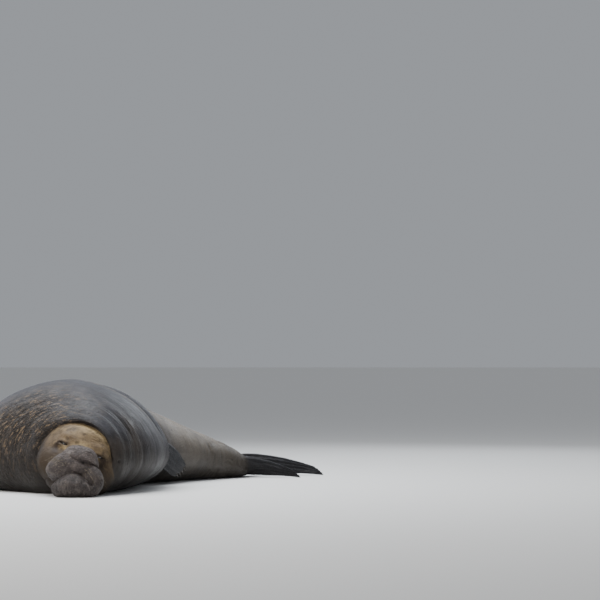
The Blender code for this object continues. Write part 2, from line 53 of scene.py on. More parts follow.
def monotone(at, value, x):  # smooth, never past its points
    step = np.diff(at)
    slope = np.diff(value) / step
    tangent = np.zeros_like(value)
    tangent[0], tangent[-1] = slope[0], slope[-1]
    for i in range(1, len(at) - 1):
        if slope[i - 1] * slope[i] > 0:
            a, b = 2 * step[i] + step[i - 1], step[i] + 2 * step[i - 1]
            tangent[i] = (a + b) / (a / slope[i - 1] + b / slope[i])
    k = np.clip(np.searchsorted(at, x) - 1, 0, len(step) - 1)
    t = (x - at[k]) / step[k]
    return (
        (1 + 2 * t) * (1 - t) ** 2 * value[k]
        + t * (1 - t) ** 2 * step[k] * tangent[k]
        + t * t * (3 - 2 * t) * value[k + 1]
        + t * t * (t - 1) * step[k] * tangent[k + 1]
    )


def natural(at, value, x):  # an evenly bending path
    n, step = len(at), np.diff(at)
    system, right = np.eye(n), np.zeros(n)
    for i in range(1, n - 1):
        system[i, i - 1 : i + 2] = step[i - 1], 2 * (step[i - 1] + step[i]), step[i]
        right[i] = 6 * ((value[i + 1] - value[i]) / step[i] - (value[i] - value[i - 1]) / step[i - 1])
    bend = np.linalg.solve(system, right)
    k = np.clip(np.searchsorted(at, x) - 1, 0, n - 2)
    before, after = at[k + 1] - x, x - at[k]
    return (
        (bend[k] * before**3 + bend[k + 1] * after**3) / (6 * step[k])
        + (value[k] / step[k] - bend[k] * step[k] / 6) * before
        + (value[k + 1] / step[k] - bend[k + 1] * step[k] / 6) * after
    )


def power(value, exponent):
    return np.sign(value) * np.abs(value) ** exponent


def bell(x, width):
    return np.exp(-((x / width) ** 2))


def ramp(x, start, end):  # 0 before start, 1 past end, smooth between
    t = np.clip((x - start) / (end - start), 0, 1)
    return t * t * (3 - 2 * t)


def unit(vector):
    vector = np.asarray(vector, float)
    return vector / np.maximum(np.linalg.norm(vector, axis=-1, keepdims=True), 1e-12)


def angleOff(theta, around):
    return (np.degrees(theta) - around + 180) % 360 - 180


def onGround(points):
    points[..., 2] = np.maximum(points[..., 2], 0)
    return points


noiseHash = {"primes": (73856093, 19349663, 83492791), "mix": 0x27D4EB2D}
brokenLines = {"stretch": 0.6, "shift": 7.3, "gap": (-0.25, 0.15)}  # where fine lines fade along their length


def smoothNoise(places, seed):  # gradient noise, about -0.7 to 0.7
    directions = unit(np.random.default_rng(seed).normal(size=(256, 3)))
    cell = np.floor(places).astype(np.int64)
    off = places - cell
    fade = off**3 * (off * (off * 6 - 15) + 10)
    total = 0
    for corner in np.ndindex(2, 2, 2):
        whole = np.moveaxis(cell + corner, -1, 0)
        x, y, z = (axis * prime for axis, prime in zip(whole, noiseHash["primes"]))
        mixed = x ^ y ^ z
        mixed = (mixed ^ (mixed >> 11)) * noiseHash["mix"]
        lean = directions[(mixed >> 15) & 255]
        weight = np.prod(np.where(corner, fade, 1 - fade), axis=-1)
        total = total + weight * ((off - corner) * lean).sum(-1)
    return total


def swell(points, size, depth, seed):  # even swells, in metres
    return depth * smoothNoise(points / size, seed)


def wrapped(along, theta, radius, length, width):  # places on a tube, for marks of that length round it
    along, theta = np.broadcast_arrays(along, theta)
    k = radius / length
    return np.stack([along / width, np.cos(theta) * k, np.sin(theta) * k], axis=-1)


def creases(places, seed, thin):  # 1 along fine broken lines, 0 elsewhere
    lines = bell(smoothNoise(places, seed), thin)
    along = smoothNoise(places * brokenLines["stretch"] + brokenLines["shift"], seed + 1)
    return lines * ramp(along, *brokenLines["gap"])


def grooves(along, theta, cut, share=1.0):  # lines round a tube: radius, length, width, depth, seed, thinness
    radius, length, width, depth, seed, thin = cut
    return share * depth * creases(wrapped(along, theta, radius, length, width), seed, thin)


def boxGrooves(points, cut, share=1.0):  # lines with a size along each axis: sizes, depth, seed, thinness
    sizes, depth, seed, thin = cut
    return share * depth * creases(points / np.array(sizes), seed, thin)


def about(value, place):  # 1 at a middle, less over a width
    return bell(value - place[0], place[1])


def banded(at, theta, bands):  # bands across a tube: place, angle, spread, width and strength of each
    return sum(
        strength * bell(at - place, width) * bell(angleOff(theta, around), spread)
        for place, around, spread, width, strength in bands
    )


def fromBelow(segments):  # angles all round, from the underside
    return np.linspace(-math.pi / 2, 1.5 * math.pi, segments, endpoint=False)[None, :]


# the body: from the inside of the neck's hood to the rump

body = {
    "measures": "at x y turn left right top mid low lean full",
    "sections": {
        "throat": (0.00, -1.560, 0.640, 14, 0.150, 0.170, 0.400, 0.27, 0.12, 0.00, 2.0),
        "hoodRoot": (0.10, -1.572, 0.520, 14, 0.220, 0.250, 0.490, 0.26, 0.06, 0.00, 2.0),
        "hoodLip": (0.20, -1.588, 0.450, 14, 0.268, 0.312, 0.531, 0.25, 0.025, 0.00, 2.0),
        "hood": (0.32, -1.612, 0.545, 13, 0.375, 0.435, 0.618, 0.25, -0.03, 0.05, 2.0),
        "neck": (0.62, -1.675, 0.780, 9, 0.540, 0.630, 0.722, 0.27, -0.04, 0.10, 1.85),
        "shoulders": (1.05, -1.750, 1.200, 6, 0.735, 0.785, 0.816, 0.28, -0.05, 0.20, 1.70),
        "chest": (1.46, -1.700, 1.600, 12, 0.735, 0.745, 0.798, 0.26, -0.05, 0.30, 1.55),
        "ribs": (1.90, -1.560, 2.000, 27, 0.570, 0.640, 0.705, 0.25, -0.05, 0.35, 1.55),
        "belly": (2.42, -1.240, 2.440, 39, 0.440, 0.530, 0.545, 0.22, -0.04, 0.20, 1.80),
        "hips": (3.00, -0.840, 2.900, 51, 0.310, 0.360, 0.360, 0.16, -0.03, 0.10, 2.0),
        "ankles": (3.42, -0.520, 3.150, 60, 0.180, 0.190, 0.205, 0.10, -0.02, 0.00, 2.2),
        "rump": (3.58, -0.405, 3.215, 64, 0.050, 0.050, 0.125, 0.08, 0.035, 0.00, 2.2),
    },
    "undersideFull": 2.3,
    # at, around, spread, width, depth of each big fold; a roll has a negative depth
    "folds": {
        "armpitCrease": (1.70, -5, 50, 0.045, 0.120),
        "flankRoll": (1.86, 5, 55, 0.085, -0.028),
        "flankCrease": (2.06, 30, 55, 0.040, 0.032),
        "hoodFold": (0.36, 100, 70, 0.030, 0.018),
        "napeFold": (0.52, 75, 75, 0.038, 0.020),
        "secondNapeFold": (0.72, 110, 60, 0.040, 0.016),
        "throatFold": (0.46, -20, 40, 0.034, 0.013),
        "neckFold": (0.68, -5, 40, 0.036, 0.010),
        "farNeckFold": (0.60, 185, 45, 0.036, 0.018),
        "farArmpit": (1.66, 185, 38, 0.050, 0.070),
        "shoulderRoll": (1.24, 50, 34, 0.100, -0.016),
        "shoulderCrease": (1.42, 55, 30, 0.050, 0.050),
        "midRoll": (1.57, 50, 30, 0.075, -0.018),
    },
    # finer folds that only the skin has
    "smallFolds": {
        "hoodPleat": (0.27, 60, 40, 0.012, 0.005),
        "hoodPleatFar": (0.285, 150, 45, 0.012, 0.009),
        "napePleat": (0.44, 95, 60, 0.014, 0.007),
        "neckPleat": (0.58, 20, 45, 0.016, 0.004),
        "neckPleatFar": (0.80, 165, 40, 0.018, 0.008),
        "shoulderPleat": (0.90, 10, 36, 0.020, 0.004),
        "chestPleat": (1.36, -8, 30, 0.016, 0.005),
        "chestPleatBack": (1.50, -4, 34, 0.018, 0.007),
        "hipPleat": (2.86, 35, 60, 0.022, 0.006),
        "hipPleatBack": (3.10, 80, 80, 0.020, 0.006),
        "anklePleat": (3.27, 70, 90, 0.018, 0.006),
        "anklePleatBack": (3.39, 90, 90, 0.014, 0.005),
    },
    "foldLimit": 0.05,
    "upperSegments": 300,
    "underSegments": 26,
    "skySide": (-25, 205),  # angles with many segments
    "ringSpans": {"hood": (0.00, 0.30, 60), "neck": (0.30, 1.00, 150), "trunk": (1.00, 3.58, 290)},
    "inset": 0.004,
}


def bodyAngles():  # dense above, sparse under the belly, where the loop closes
    (low, high), under = body["skySide"], body["underSegments"]
    spans = ((-90, low, under), (low, high, body["upperSegments"]), (high, 270, under))
    return np.radians(np.concatenate([np.linspace(*span, endpoint=False) for span in spans]))


def bodyPlaces():
    spans = body["ringSpans"]
    return np.concatenate([np.linspace(*spans[key], endpoint=key == "trunk") for key in spans])[:, None]


def bodyGrid(at, theta):
    table = sections(body["measures"], body["sections"])
    x, y = (natural(table["at"], table[key], at) for key in "xy")
    turn, left, right, top, mid, low, lean, full = (
        monotone(table["at"], table[key], at) for key in "turn left right top mid low lean full".split()
    )
    c, s = np.cos(theta), np.sin(theta)
    full = np.where(s > 0, full, body["undersideFull"])
    across = np.where(c > 0, left, right) * power(c, 2 / full)
    rise = np.where(s > 0, top - mid, mid - low) * power(s, 2 / full)
    pull = banded(at, theta, [*body["folds"].values(), *body["smallFolds"].values()])
    keep = 1 - pull / np.maximum(np.hypot(across, rise), body["foldLimit"])
    across, rise = across * keep, rise * keep
    turn, trail = np.radians(turn), lean * rise
    east = x + np.cos(turn) * across + np.sin(turn) * trail
    north = y - np.sin(turn) * across + np.cos(turn) * trail
    return onGround(np.stack([east, north, mid + rise], axis=-1))


bodyRelief = {
    # size, depth, seed of each kind of swell
    "fat": (0.42, 0.010, 11),
    "muscle": (0.15, 0.0030, 12),
    "shieldLumps": (0.020, 0.0026, 23),
    # radius, length, width, depth, seed, thinness of each kind of line
    "shieldLines": (0.6, 0.13, 0.020, 0.0055, 21, 0.10),
    "neckLines": (0.6, 0.26, 0.015, 0.0013, 25, 0.13),
    "chestLines": (0.7, 0.22, 0.030, 0.0017, 31, 0.10),
    "tailLines": (0.4, 0.20, 0.040, 0.0040, 41, 0.10),
    "backLines": (0.7, 0.30, 0.055, 0.0013, 51, 0.10),
}
bodyMarks = {  # along: start and end, or middle and width; around: angle and spread
    "shieldAlong": (1.10, 0.50), "shieldCrown": (0.95, 0.4), "crownShare": 0.45, "shieldRough": 0.35,
    "crustAlong": (1.05, 0.55), "crustAround": (150, 62),
    "neckward": (1.75, 1.20), "chestAlong": (1.28, 0.30), "chestAround": (-8, 38), "tailward": (2.30, 3.10),
    "aft": (1.55, 2.75), "flipper": (3.20, 3.52), "flipperShare": 0.85,
    # place, angle, spread, width and strength of each pale rim along a fold's edge: partly wear, partly painted
    # highlight
    "rimWearAndHighlights": {
        "armpit": (1.61, 0, 60, 0.045, 0.55),
        "shoulder": (1.24, 48, 30, 0.080, 0.35),
        "flank": (1.80, 10, 55, 0.05, 0.5),
    },
}


def makeBody():
    r, m = bodyRelief, bodyMarks
    theta, at = bodyAngles()[None, :], bodyPlaces()
    grid = bodyGrid(at, theta)
    crown = m["crownShare"] + (1 - m["crownShare"]) * ramp(np.sin(theta), *m["shieldCrown"])
    shield = ramp(at, *m["shieldAlong"]) * crown
    crust = ramp(at, *m["crustAlong"]) * bell(angleOff(theta, m["crustAround"][0]), m["crustAround"][1])
    rough = np.clip(m["shieldRough"] * shield + crust, 0, 1)
    chest = about(at, m["chestAlong"]) * bell(angleOff(theta, m["chestAround"][0]), m["chestAround"][1])
    depth = swell(grid, *r["fat"]) + swell(grid, *r["muscle"])
    depth = depth - grooves(at, theta, r["shieldLines"], rough) + rough * swell(grid, *r["shieldLumps"])
    depth = depth - grooves(at, theta, r["neckLines"], ramp(at, *m["neckward"]))
    depth = depth - grooves(at, theta, r["chestLines"], chest)
    depth = depth - grooves(at, theta, r["tailLines"], ramp(at, *m["tailward"]))
    depth = depth - grooves(at, theta, r["backLines"])
    masks = {"shield": shield, "crust": crust, "aft": ramp(at, *m["aft"]),
             "flipper": m["flipperShare"] * ramp(at, *m["flipper"]),
             "rim": banded(at, theta, m["rimWearAndHighlights"].values())}
    return skinPart("body", grid, depth - body["inset"], masks)


# skin parts are rings of points with masks; they are closed into meshes and fused later

maskNames = ["face", "nose", "flipper", "shield", "crust", "aft", "rim", "stain", "glow", "dusk", "follicle"]


def gridNormals(grid):
    along = np.gradient(grid, axis=0)
    around = np.roll(grid, -1, axis=1) - np.roll(grid, 1, axis=1)
    normal = unit(np.cross(along, around))
    outward = (normal * (grid - grid.mean(axis=1, keepdims=True))).sum(-1)
    return normal * (1 if np.median(outward) > 0 else -1)


def skinPart(name, grid, depth, masks):
    normal = gridNormals(grid)
    grid = onGround(grid + normal * np.broadcast_to(depth, grid.shape[:2])[..., None])
    stepAlong = np.linalg.norm(np.diff(grid, axis=0, prepend=grid[:1]), axis=-1).mean(axis=1)
    stepAround = np.linalg.norm(np.diff(grid, axis=1, prepend=grid[:, :1]), axis=-1)
    lie = np.zeros_like(grid)
    lie[..., 0] = np.cumsum(stepAlong)[:, None]
    lie[..., 1] = np.cumsum(stepAround, axis=1)
    values = np.zeros((*grid.shape[:2], len(maskNames)))
    for mask, value in masks.items():
        values[..., maskNames.index(mask)] = value
    return {"name": name, "grid": grid, "lie": lie, "masks": values, "flow": unit(np.gradient(grid, axis=0))}


def closedMesh(part):
    rings, count = part["grid"].shape[:2]
    index = np.arange(rings * count).reshape(rings, count)
    after = np.roll(index, -1, axis=1)
    quads = np.stack([index[:-1], after[:-1], after[1:], index[1:]], axis=-1).reshape(-1, 4)
    ends = [part["grid"][0].mean(axis=0), part["grid"][-1].mean(axis=0)]
    points = np.concatenate([part["grid"].reshape(-1, 3), ends]) - planCentre
    first, last = len(points) - 2, len(points) - 1
    fans = [(first, after[0, i], index[0, i]) for i in range(count)]
    fans += [(last, index[-1, i], after[-1, i]) for i in range(count)]
    mesh = bpy.data.meshes.new(part["name"])
    mesh.from_pydata(points.tolist(), [], quads.tolist() + fans)
    bm = bmesh.new()
    bm.from_mesh(mesh)
    if bm.calc_volume(signed=True) < 0:
        bmesh.ops.reverse_faces(bm, faces=bm.faces)
    bmesh.ops.triangulate(bm, faces=bm.faces)
    bm.to_mesh(mesh)
    bm.free()
    made = bpy.data.objects.new(part["name"], mesh)
    bpy.context.scene.collection.objects.link(made)
    return made


# the head, in a frame of its own: x to the animal's left, y backwards, z through the crown

head = {
    "place": (-1.542, 0.360, 0.325),
    "roll": 21,
    "yaw": 2,
    "measures": "y half top low pear",
    "sections": {
        "nape": (0.460, 0.270, 0.120, -0.28, 0.00),
        "crown": (0.260, 0.295, 0.190, -0.34, 0.05),
        "browBack": (0.120, 0.285, 0.172, -0.34, 0.10),
        "brow": (0.010, 0.255, 0.122, -0.33, 0.16),
        "eyes": (-0.070, 0.222, 0.060, -0.30, 0.22),
        "bridge": (-0.110, 0.200, 0.010, -0.285, 0.20),
        "muzzle": (-0.150, 0.160, -0.055, -0.27, 0.10),
        "lips": (-0.180, 0.085, -0.120, -0.24, 0.00),
    },
    "full": 2.3,
    "packed": 1.5,
    # centre, reach and move of each swelling or hollow; the last number says if it is on both sides
    "forms": {
        "browRidge": (0.140, -0.040, 0.055, 0.065, 0.060, 0.026, 0.006, -0.022, 0.012, 1),
        "eyeHollow": (0.150, -0.080, -0.052, 0.065, 0.050, 0.026, -0.012, 0.016, 0.0, 1),
        "cheek": (0.235, -0.020, -0.150, 0.090, 0.110, 0.090, 0.026, -0.010, 0.0, 1),
        "temple": (0.215, 0.060, 0.040, 0.060, 0.070, 0.050, -0.012, 0.0, -0.004, 1),
        "forehead": (0.0, 0.020, 0.120, 0.150, 0.070, 0.060, 0.0, -0.018, 0.008, 0),
    },
    "segments": 380,
    "rings": 170,
    "inset": 0.003,
}
lowerJaw = {
    "measures": "y half top low pear",
    "sections": {
        "throat": (0.100, 0.150, -0.230, -0.350, 0),
        "angle": (0.000, 0.165, -0.225, -0.350, 0),
        "cheek": (-0.090, 0.150, -0.222, -0.345, 0),
        "chin": (-0.165, 0.105, -0.222, -0.335, 0),
        "chinTip": (-0.205, 0.045, -0.240, -0.300, 0),
    },
    "segments": 120,
    "rings": 70,
    "inset": 0.002,
    "swells": (0.05, 0.003, 71),
    "lines": ((0.03, 0.03, 0.03), 0.002, 72, 0.10),
    # the lower jaw lies in the face's painted shade all over
    "masks": {"face": 1.0, "nose": 0.4, "stain": 0.6, "dusk": 1.0},
}


def headTurn():
    yaw, roll = math.radians(head["yaw"]), math.radians(head["roll"])
    return np.array(Matrix.Rotation(yaw, 3, "Z") @ Matrix.Rotation(roll, 3, "Y"))


def headToPlan(points):
    return np.asarray(points) @ headTurn().T + np.array(head["place"])


def planToHead(points):
    return (np.asarray(points) - np.array(head["place"])) @ headTurn()


def headGrid(shape, theta, forms):
    table = sections(shape["measures"], shape["sections"])
    places = -table["y"]
    along = np.linspace(0, 1, shape["rings"])[:, None]
    along = places[0] + (places[-1] - places[0]) * (1 - (1 - along) ** head["packed"])
    half, top, low, pear = (monotone(places, table[key], along) for key in "half top low pear".split())
    lift = power(np.sin(theta), 2 / head["full"])
    across = half * power(np.cos(theta), 2 / head["full"]) * (1 - pear * lift)
    height = (top + low) / 2 + (top - low) / 2 * lift
    return formed(np.stack([across, -along + 0 * across, height], axis=-1), forms)


def formed(points, forms):  # after the named swellings and hollows
    for cx, cy, cz, rx, ry, rz, mx, my, mz, pair in forms:
        for side in (1, -1) if pair else (1,):
            off = (points - (cx * side, cy, cz)) / (rx, ry, rz)
            points = points + np.exp(-(off**2).sum(-1, keepdims=True)) * (mx * side, my, mz)
    return points


headRelief = {
    "swells": (0.07, 0.0040, 61),
    "lumps": (0.022, 0.0012, 62),
    # sizes across, back and up, then depth, seed and thinness of each kind of line
    "browLines": ((0.10, 0.03, 0.014), 0.0035, 63, 0.10),
    "bridgeLines": ((0.011, 0.05, 0.05), 0.0030, 64, 0.14),
    "cheekLines": ((0.035, 0.035, 0.035), 0.0022, 65, 0.10),
    # where each kind lies: middle and width, or start and end for browBack
    "browUp": (0.10, 0.09), "browAcross": (0.0, 0.22), "browBack": (0.20, 0.02),
    "bridgeUp": (0.03, 0.07), "bridgeAcross": (0.0, 0.075),
    "cheekUp": (-0.10, 0.12), "cheekAcross": (0.20, 0.09),
}
headMarks = {
    # tear stains from each eye: away from it and down from it
    "tearAway": (0.035, 0.045), "tearTop": (-0.03, 0.02), "tearEnd": (0.17, 0.06),
    "socketShare": 0.3, "socketAway": (0.0, 0.05), "socketDown": (0.004, 0.020),
    # pale patches, painted highlights on the bridge, the crown and the tan rim by the hood, and the pale lower
    # lids: share, middle and width across, middle and width up
    "bridgeHighlight": (1.2, (0.0, 0.050), (0.020, 0.035)),
    "lidGlow": (0.9, (0.14, 0.05), (-0.026, 0.010)),
    "rightLidGlow": (0.7, (-0.12, 0.05), (-0.022, 0.012)),
    "crownHighlight": (0.35, (0.05, 0.20), (0.055, 0.15)),  # starts and ends upwards
    "hoodRimHighlight": (1.1, (0.055, 0.026), (-0.08, 0.08)), "hoodTilt": 0.5,  # backwards, then along a slant
    # painted shade: the face darker downwards and to its right
    "faceShadeDown": (-0.02, -0.16), "faceShadeRight": (-0.17, -0.27), "faceShadeRightShare": 0.5,
    "neckRight": (0.245, 0.310), "neckBack": (0.02, 0.10), "neckDown": (0.02, 0.14), "neckBackShare": 0.8,
    "neckShare": 0.9, "crustShare": 0.7,
}


def makeHead():
    r, m = headRelief, headMarks
    own = headGrid(head, fromBelow(head["segments"]), head["forms"].values())
    x, y, z = np.moveaxis(own, -1, 0)
    brow = about(z, r["browUp"]) * about(x, r["browAcross"]) * ramp(y, *r["browBack"])
    bridge = about(x, r["bridgeAcross"]) * about(z, r["bridgeUp"])
    cheek = about(np.abs(x), r["cheekAcross"]) * about(z, r["cheekUp"])
    depth = swell(own, *r["swells"]) + swell(own, *r["lumps"])
    depth = depth - boxGrooves(own, r["browLines"], brow) - boxGrooves(own, r["bridgeLines"], bridge)
    depth = depth - boxGrooves(own, r["cheekLines"], cheek)
    stain = 0
    for side in (1, -1):
        middle = eyeMiddle(side, own=True)
        away, down = (x - middle[0]) * side, middle[2] - z
        stain = stain + about(away, m["tearAway"]) * ramp(down, *m["tearTop"]) * ramp(down, *m["tearEnd"])
        stain = stain + m["socketShare"] * about(away, m["socketAway"]) * about(down, m["socketDown"])
    # painted highlights on the bridge, crown and hood's rim, and the pale lower lids
    glow = 0
    for name, aside in (("bridgeHighlight", x), ("lidGlow", np.abs(x)), ("rightLidGlow", x)):
        share, across, rise = m[name]
        glow = glow + share * about(aside, across) * about(z, rise)
    share, across, rise = m["crownHighlight"]
    glow = glow + share * ramp(z, *rise) * about(x, across)
    share, back, slant = m["hoodRimHighlight"]
    glow = glow + share * about(y, back) * ramp(x + m["hoodTilt"] * z, *slant)
    # painted shade: the face darker towards the bottom and on its right side
    dusk = ramp(z, *m["faceShadeDown"]) + m["faceShadeRightShare"] * ramp(x, *m["faceShadeRight"])
    toNeck = m["neckBackShare"] * ramp(y, *m["neckBack"]) * ramp(-z, *m["neckDown"])
    toNeck = np.maximum(ramp(-x, *m["neckRight"]), toNeck)
    masks = {"face": 1 - m["neckShare"] * toNeck, "shield": toNeck, "crust": m["crustShare"] * toNeck,
             "stain": np.clip(stain, 0, 1), "glow": np.clip(glow, 0, 1) * (1 - toNeck),
             "dusk": np.clip(dusk, 0, 1)}
    return skinPart("head", headToPlan(own), depth - head["inset"], masks)


def makeJaw():
    own = headGrid(lowerJaw, fromBelow(lowerJaw["segments"]), [])
    depth = swell(own, *lowerJaw["swells"]) - boxGrooves(own, lowerJaw["lines"])
    return skinPart("lowerJaw", headToPlan(own), depth - lowerJaw["inset"], lowerJaw["masks"])


# the proboscis: two lobes over the muzzle, and the last one folded to the ground

proboscis = {
    "measures": "x y z bend left right outer inner",
    "sections": {
        "root": (0.000, 0.030, -0.075, 0, 0.080, 0.080, 0.070, 0.04),
        "bridge": (-0.005, -0.020, -0.060, 12, 0.108, 0.100, 0.078, 0.04),
        "upperLobeTop": (0.000, -0.075, -0.052, 36, 0.126, 0.106, 0.090, 0.03),
        "upperLobe": (0.006, -0.108, -0.060, 60, 0.146, 0.120, 0.108, 0.03),
        "firstCrease": (0.005, -0.130, -0.086, 76, 0.160, 0.142, 0.108, 0.03),
        "middleLobe": (0.005, -0.140, -0.120, 86, 0.180, 0.165, 0.112, 0.04),
        "secondCrease": (0.003, -0.145, -0.160, 91, 0.185, 0.184, 0.108, 0.05),
        "whiskerPads": (0.000, -0.142, -0.205, 95, 0.168, 0.188, 0.098, 0.05),
        "lip": (0.000, -0.135, -0.250, 98, 0.125, 0.155, 0.060, 0.05),
        "lipEdge": (0.000, -0.130, -0.283, 100, 0.060, 0.070, 0.025, 0.03),
    },
    # section, angle, spread, width and depth of the creases between its lobes
    "creases": {"first": (4.1, 28, 50, 0.25, 0.072), "second": (6.0, 44, 42, 0.30, 0.044)},
    "creaseLimit": 0.03,
    "forms": {"upperLobeSwell": (0.080, -0.130, 0.015, 0.075, 0.080, 0.060, 0.008, -0.004, 0.018, 0)},
    "full": 0.9,
    "segments": 280,
    "rings": 190,
    "inset": 0.0015,
    "lumps": (0.030, 0.0030, 81),
    "ringLines": (0.14, 0.09, 0.16, 0.0032, 82, 0.13),
    "fineLines": (0.14, 0.05, 0.075, 0.0016, 84, 0.16),
    "bareFrom": (0.6, 2.2),  # sections between which the coat ends
    "bareEdge": (0.05, 0.25, 86),
}
whiskers = {
    "rows": (4.66, 4.92, 5.18, 5.44),  # places along the middle lobe
    "angles": (20, 31, 42, 53, 64),  # round each side, from the cheek to the front
    "length": (0.050, 0.105),
    "root": 0.0009,
    "tip": 0.0002,
    "droop": 0.45,
    "sides": 5,
    "rings": 9,
    "pit": 0.0055,
    "pitDepth": 0.0016,
    # how far the pits stray from even rows: along, around, the shift of every second row, and the pattern
    "stray": (0.05, 2), "stagger": 4, "pattern": (5.1, 2.3, 3.7),
    "probe": (0.05, 2.0),  # steps along and around that find which way is out
    "seed": 5, "sunk": 0.004, "aside": 0.9, "fall": -0.3, "scatter": 0.12, "sweep": -0.15, "taper": 0.8,
}


def proboscisGrid(along, theta):
    table = sections(proboscis["measures"], proboscis["sections"])
    places = np.arange(len(table["x"]), dtype=float)
    x, y, z = (natural(places, table[key], along) for key in "xyz")
    bend, left, right, outer, inner = (
        monotone(places, table[key], along) for key in "bend left right outer inner".split()
    )
    c, s = np.cos(theta), np.sin(theta)
    across = np.where(c > 0, left, right) * power(c, proboscis["full"])
    out = np.where(s > 0, outer, inner) * power(s, proboscis["full"])
    pull = banded(along, theta, proboscis["creases"].values())
    keep = 1 - pull / np.maximum(np.hypot(across, out), proboscis["creaseLimit"])
    bend = np.radians(bend)
    across, out = across * keep, out * keep
    points = np.stack([x + across, y - np.sin(bend) * out, z + np.cos(bend) * out], axis=-1)
    return formed(points, proboscis["forms"].values())


def follicles():  # place along and angle round of each whisker's root
    (alongStray, turnStray), (a, b, c) = whiskers["stray"], whiskers["pattern"]
    found = []
    for i, row in enumerate(whiskers["rows"]):
        for j, angle in enumerate(whiskers["angles"]):
            for side in (1, -1):
                shift = alongStray * math.sin(a * i + b * j + side)
                turn = angle + whiskers["stagger"] * (i % 2) + turnStray * math.sin(c * i + j)
                found.append((row + shift, turn if side == 1 else 180 - turn))
    return np.array(found)


def makeProboscis():
    p = proboscis
    theta, along = fromBelow(p["segments"]), np.linspace(0, len(p["sections"]) - 1, p["rings"])[:, None]
    own = proboscisGrid(along, theta)
    depth = swell(own, *p["lumps"])
    depth = depth - grooves(along, theta, p["ringLines"]) - grooves(along, theta, p["fineLines"])
    pits = np.zeros_like(depth)
    for row, angle in follicles():
        root = proboscisGrid(np.array([[row]]), np.radians([[angle]]))[0, 0]
        pits += bell(np.linalg.norm(own - root, axis=-1), whiskers["pit"])
    pits = np.clip(pits, 0, 1)
    depth = depth - whiskers["pitDepth"] * pits
    bare = np.clip(ramp(along, *p["bareFrom"]) + swell(own, *p["bareEdge"]), 0, 1)
    # the whisker pits are painted dark as shade
    masks = {"nose": bare, "face": 1 - bare, "follicle": pits}
    return skinPart("proboscis", headToPlan(own), depth - p["inset"], masks)


lastLobe = {
    "measures": "x y z wide under over",
    "sections": {
        "inMiddleLobe": (-1.570, 0.215, 0.212, 0.046, 0.036, 0.028),
        "alongIt": (-1.500, 0.196, 0.192, 0.056, 0.044, 0.034),
        "itsEnd": (-1.444, 0.174, 0.162, 0.060, 0.049, 0.034),
        "turn": (-1.420, 0.155, 0.112, 0.060, 0.050, 0.030),
        "bend": (-1.446, 0.136, 0.060, 0.066, 0.055, 0.032),
        "belly": (-1.512, 0.112, 0.060, 0.086, 0.063, 0.066),
        "middle": (-1.585, 0.108, 0.078, 0.096, 0.084, 0.090),
        "neck": (-1.652, 0.130, 0.066, 0.086, 0.072, 0.074),
        "tip": (-1.704, 0.158, 0.054, 0.064, 0.054, 0.054),
        "end": (-1.724, 0.170, 0.050, 0.026, 0.024, 0.024),
    },
    "segments": 170,
    "rings": 190,
    "inset": 0.0015,
    "swells": (0.035, 0.0030, 91),
    "longLines": (0.08, 0.06, 0.13, 0.0034, 92, 0.14),
    "fineLines": (0.08, 0.04, 0.06, 0.0014, 94, 0.16),
    "smoothEnd": (8.9, 8.0),  # the long lines end before the nostrils
    "nostrilSpacing": 0.052,
    "nostrilShift": (0.002, -0.006),
    "nostrilAxes": ((0.25, -0.9, 0.35), (-1, 0, 0.1), (0.1, 0.35, 0.9)),  # along, out, up
    "nostrilEdge": 1.5,
    "nostril": (0.019, 0.016, 0.0075),  # long, reach in, tall
    "nostrilDepth": 0.022,
}


def lobeGrid(along, theta):
    table = sections(lastLobe["measures"], lastLobe["sections"])
    places = np.arange(len(table["x"]), dtype=float)
    path = np.stack([natural(places, table[key], along) for key in "xyz"], axis=-1)
    wide, under, over = (
        monotone(places, table[key], along)[:, None, None] for key in ("wide", "under", "over")
    )
    ahead = unit(np.gradient(path, axis=0))
    out = unit(np.cross(ahead, (0.0, 1.0, 0.0)))
    side = np.cross(out, ahead)
    c, s = np.cos(theta)[:, None], np.sin(theta)[:, None]
    return path[:, None] + side[:, None] * wide * c + out[:, None] * np.where(s > 0, under, over) * s


def makeLobe():
    p = lastLobe
    theta = np.linspace(0, 2 * math.pi, p["segments"], endpoint=False)
    along = np.linspace(0, len(p["sections"]) - 1, p["rings"])
    grid = lobeGrid(along, theta)
    along = along[:, None]
    depth = swell(grid, *p["swells"]) - grooves(along, theta, p["longLines"], ramp(along, *p["smoothEnd"]))
    depth = depth - grooves(along, theta, p["fineLines"])
    return skinPart("lastLobe", grid, depth - p["inset"], {"nose": 1.0})


creaseFloor = {
    "place": (-1.466, 0.152, 0.126), "sizes": (0.062, 0.048, 0.066),
    "segments": 60, "rings": 40, "poles": 0.49 * math.pi,
}


def makeCreaseFloor():  # flesh that closes the gap inside the last lobe's bend
    theta = np.linspace(0, 2 * math.pi, creaseFloor["segments"], endpoint=False)
    up = np.linspace(-creaseFloor["poles"], creaseFloor["poles"], creaseFloor["rings"])[:, None]
    ball = np.stack([np.cos(up) * np.cos(theta), np.cos(up) * np.sin(theta), np.sin(up) + 0 * theta], axis=-1)
    grid = ball * np.array(creaseFloor["sizes"]) + np.array(creaseFloor["place"])
    return skinPart("creaseFloor", grid, 0.0, {"nose": 1.0})


# flippers and tail

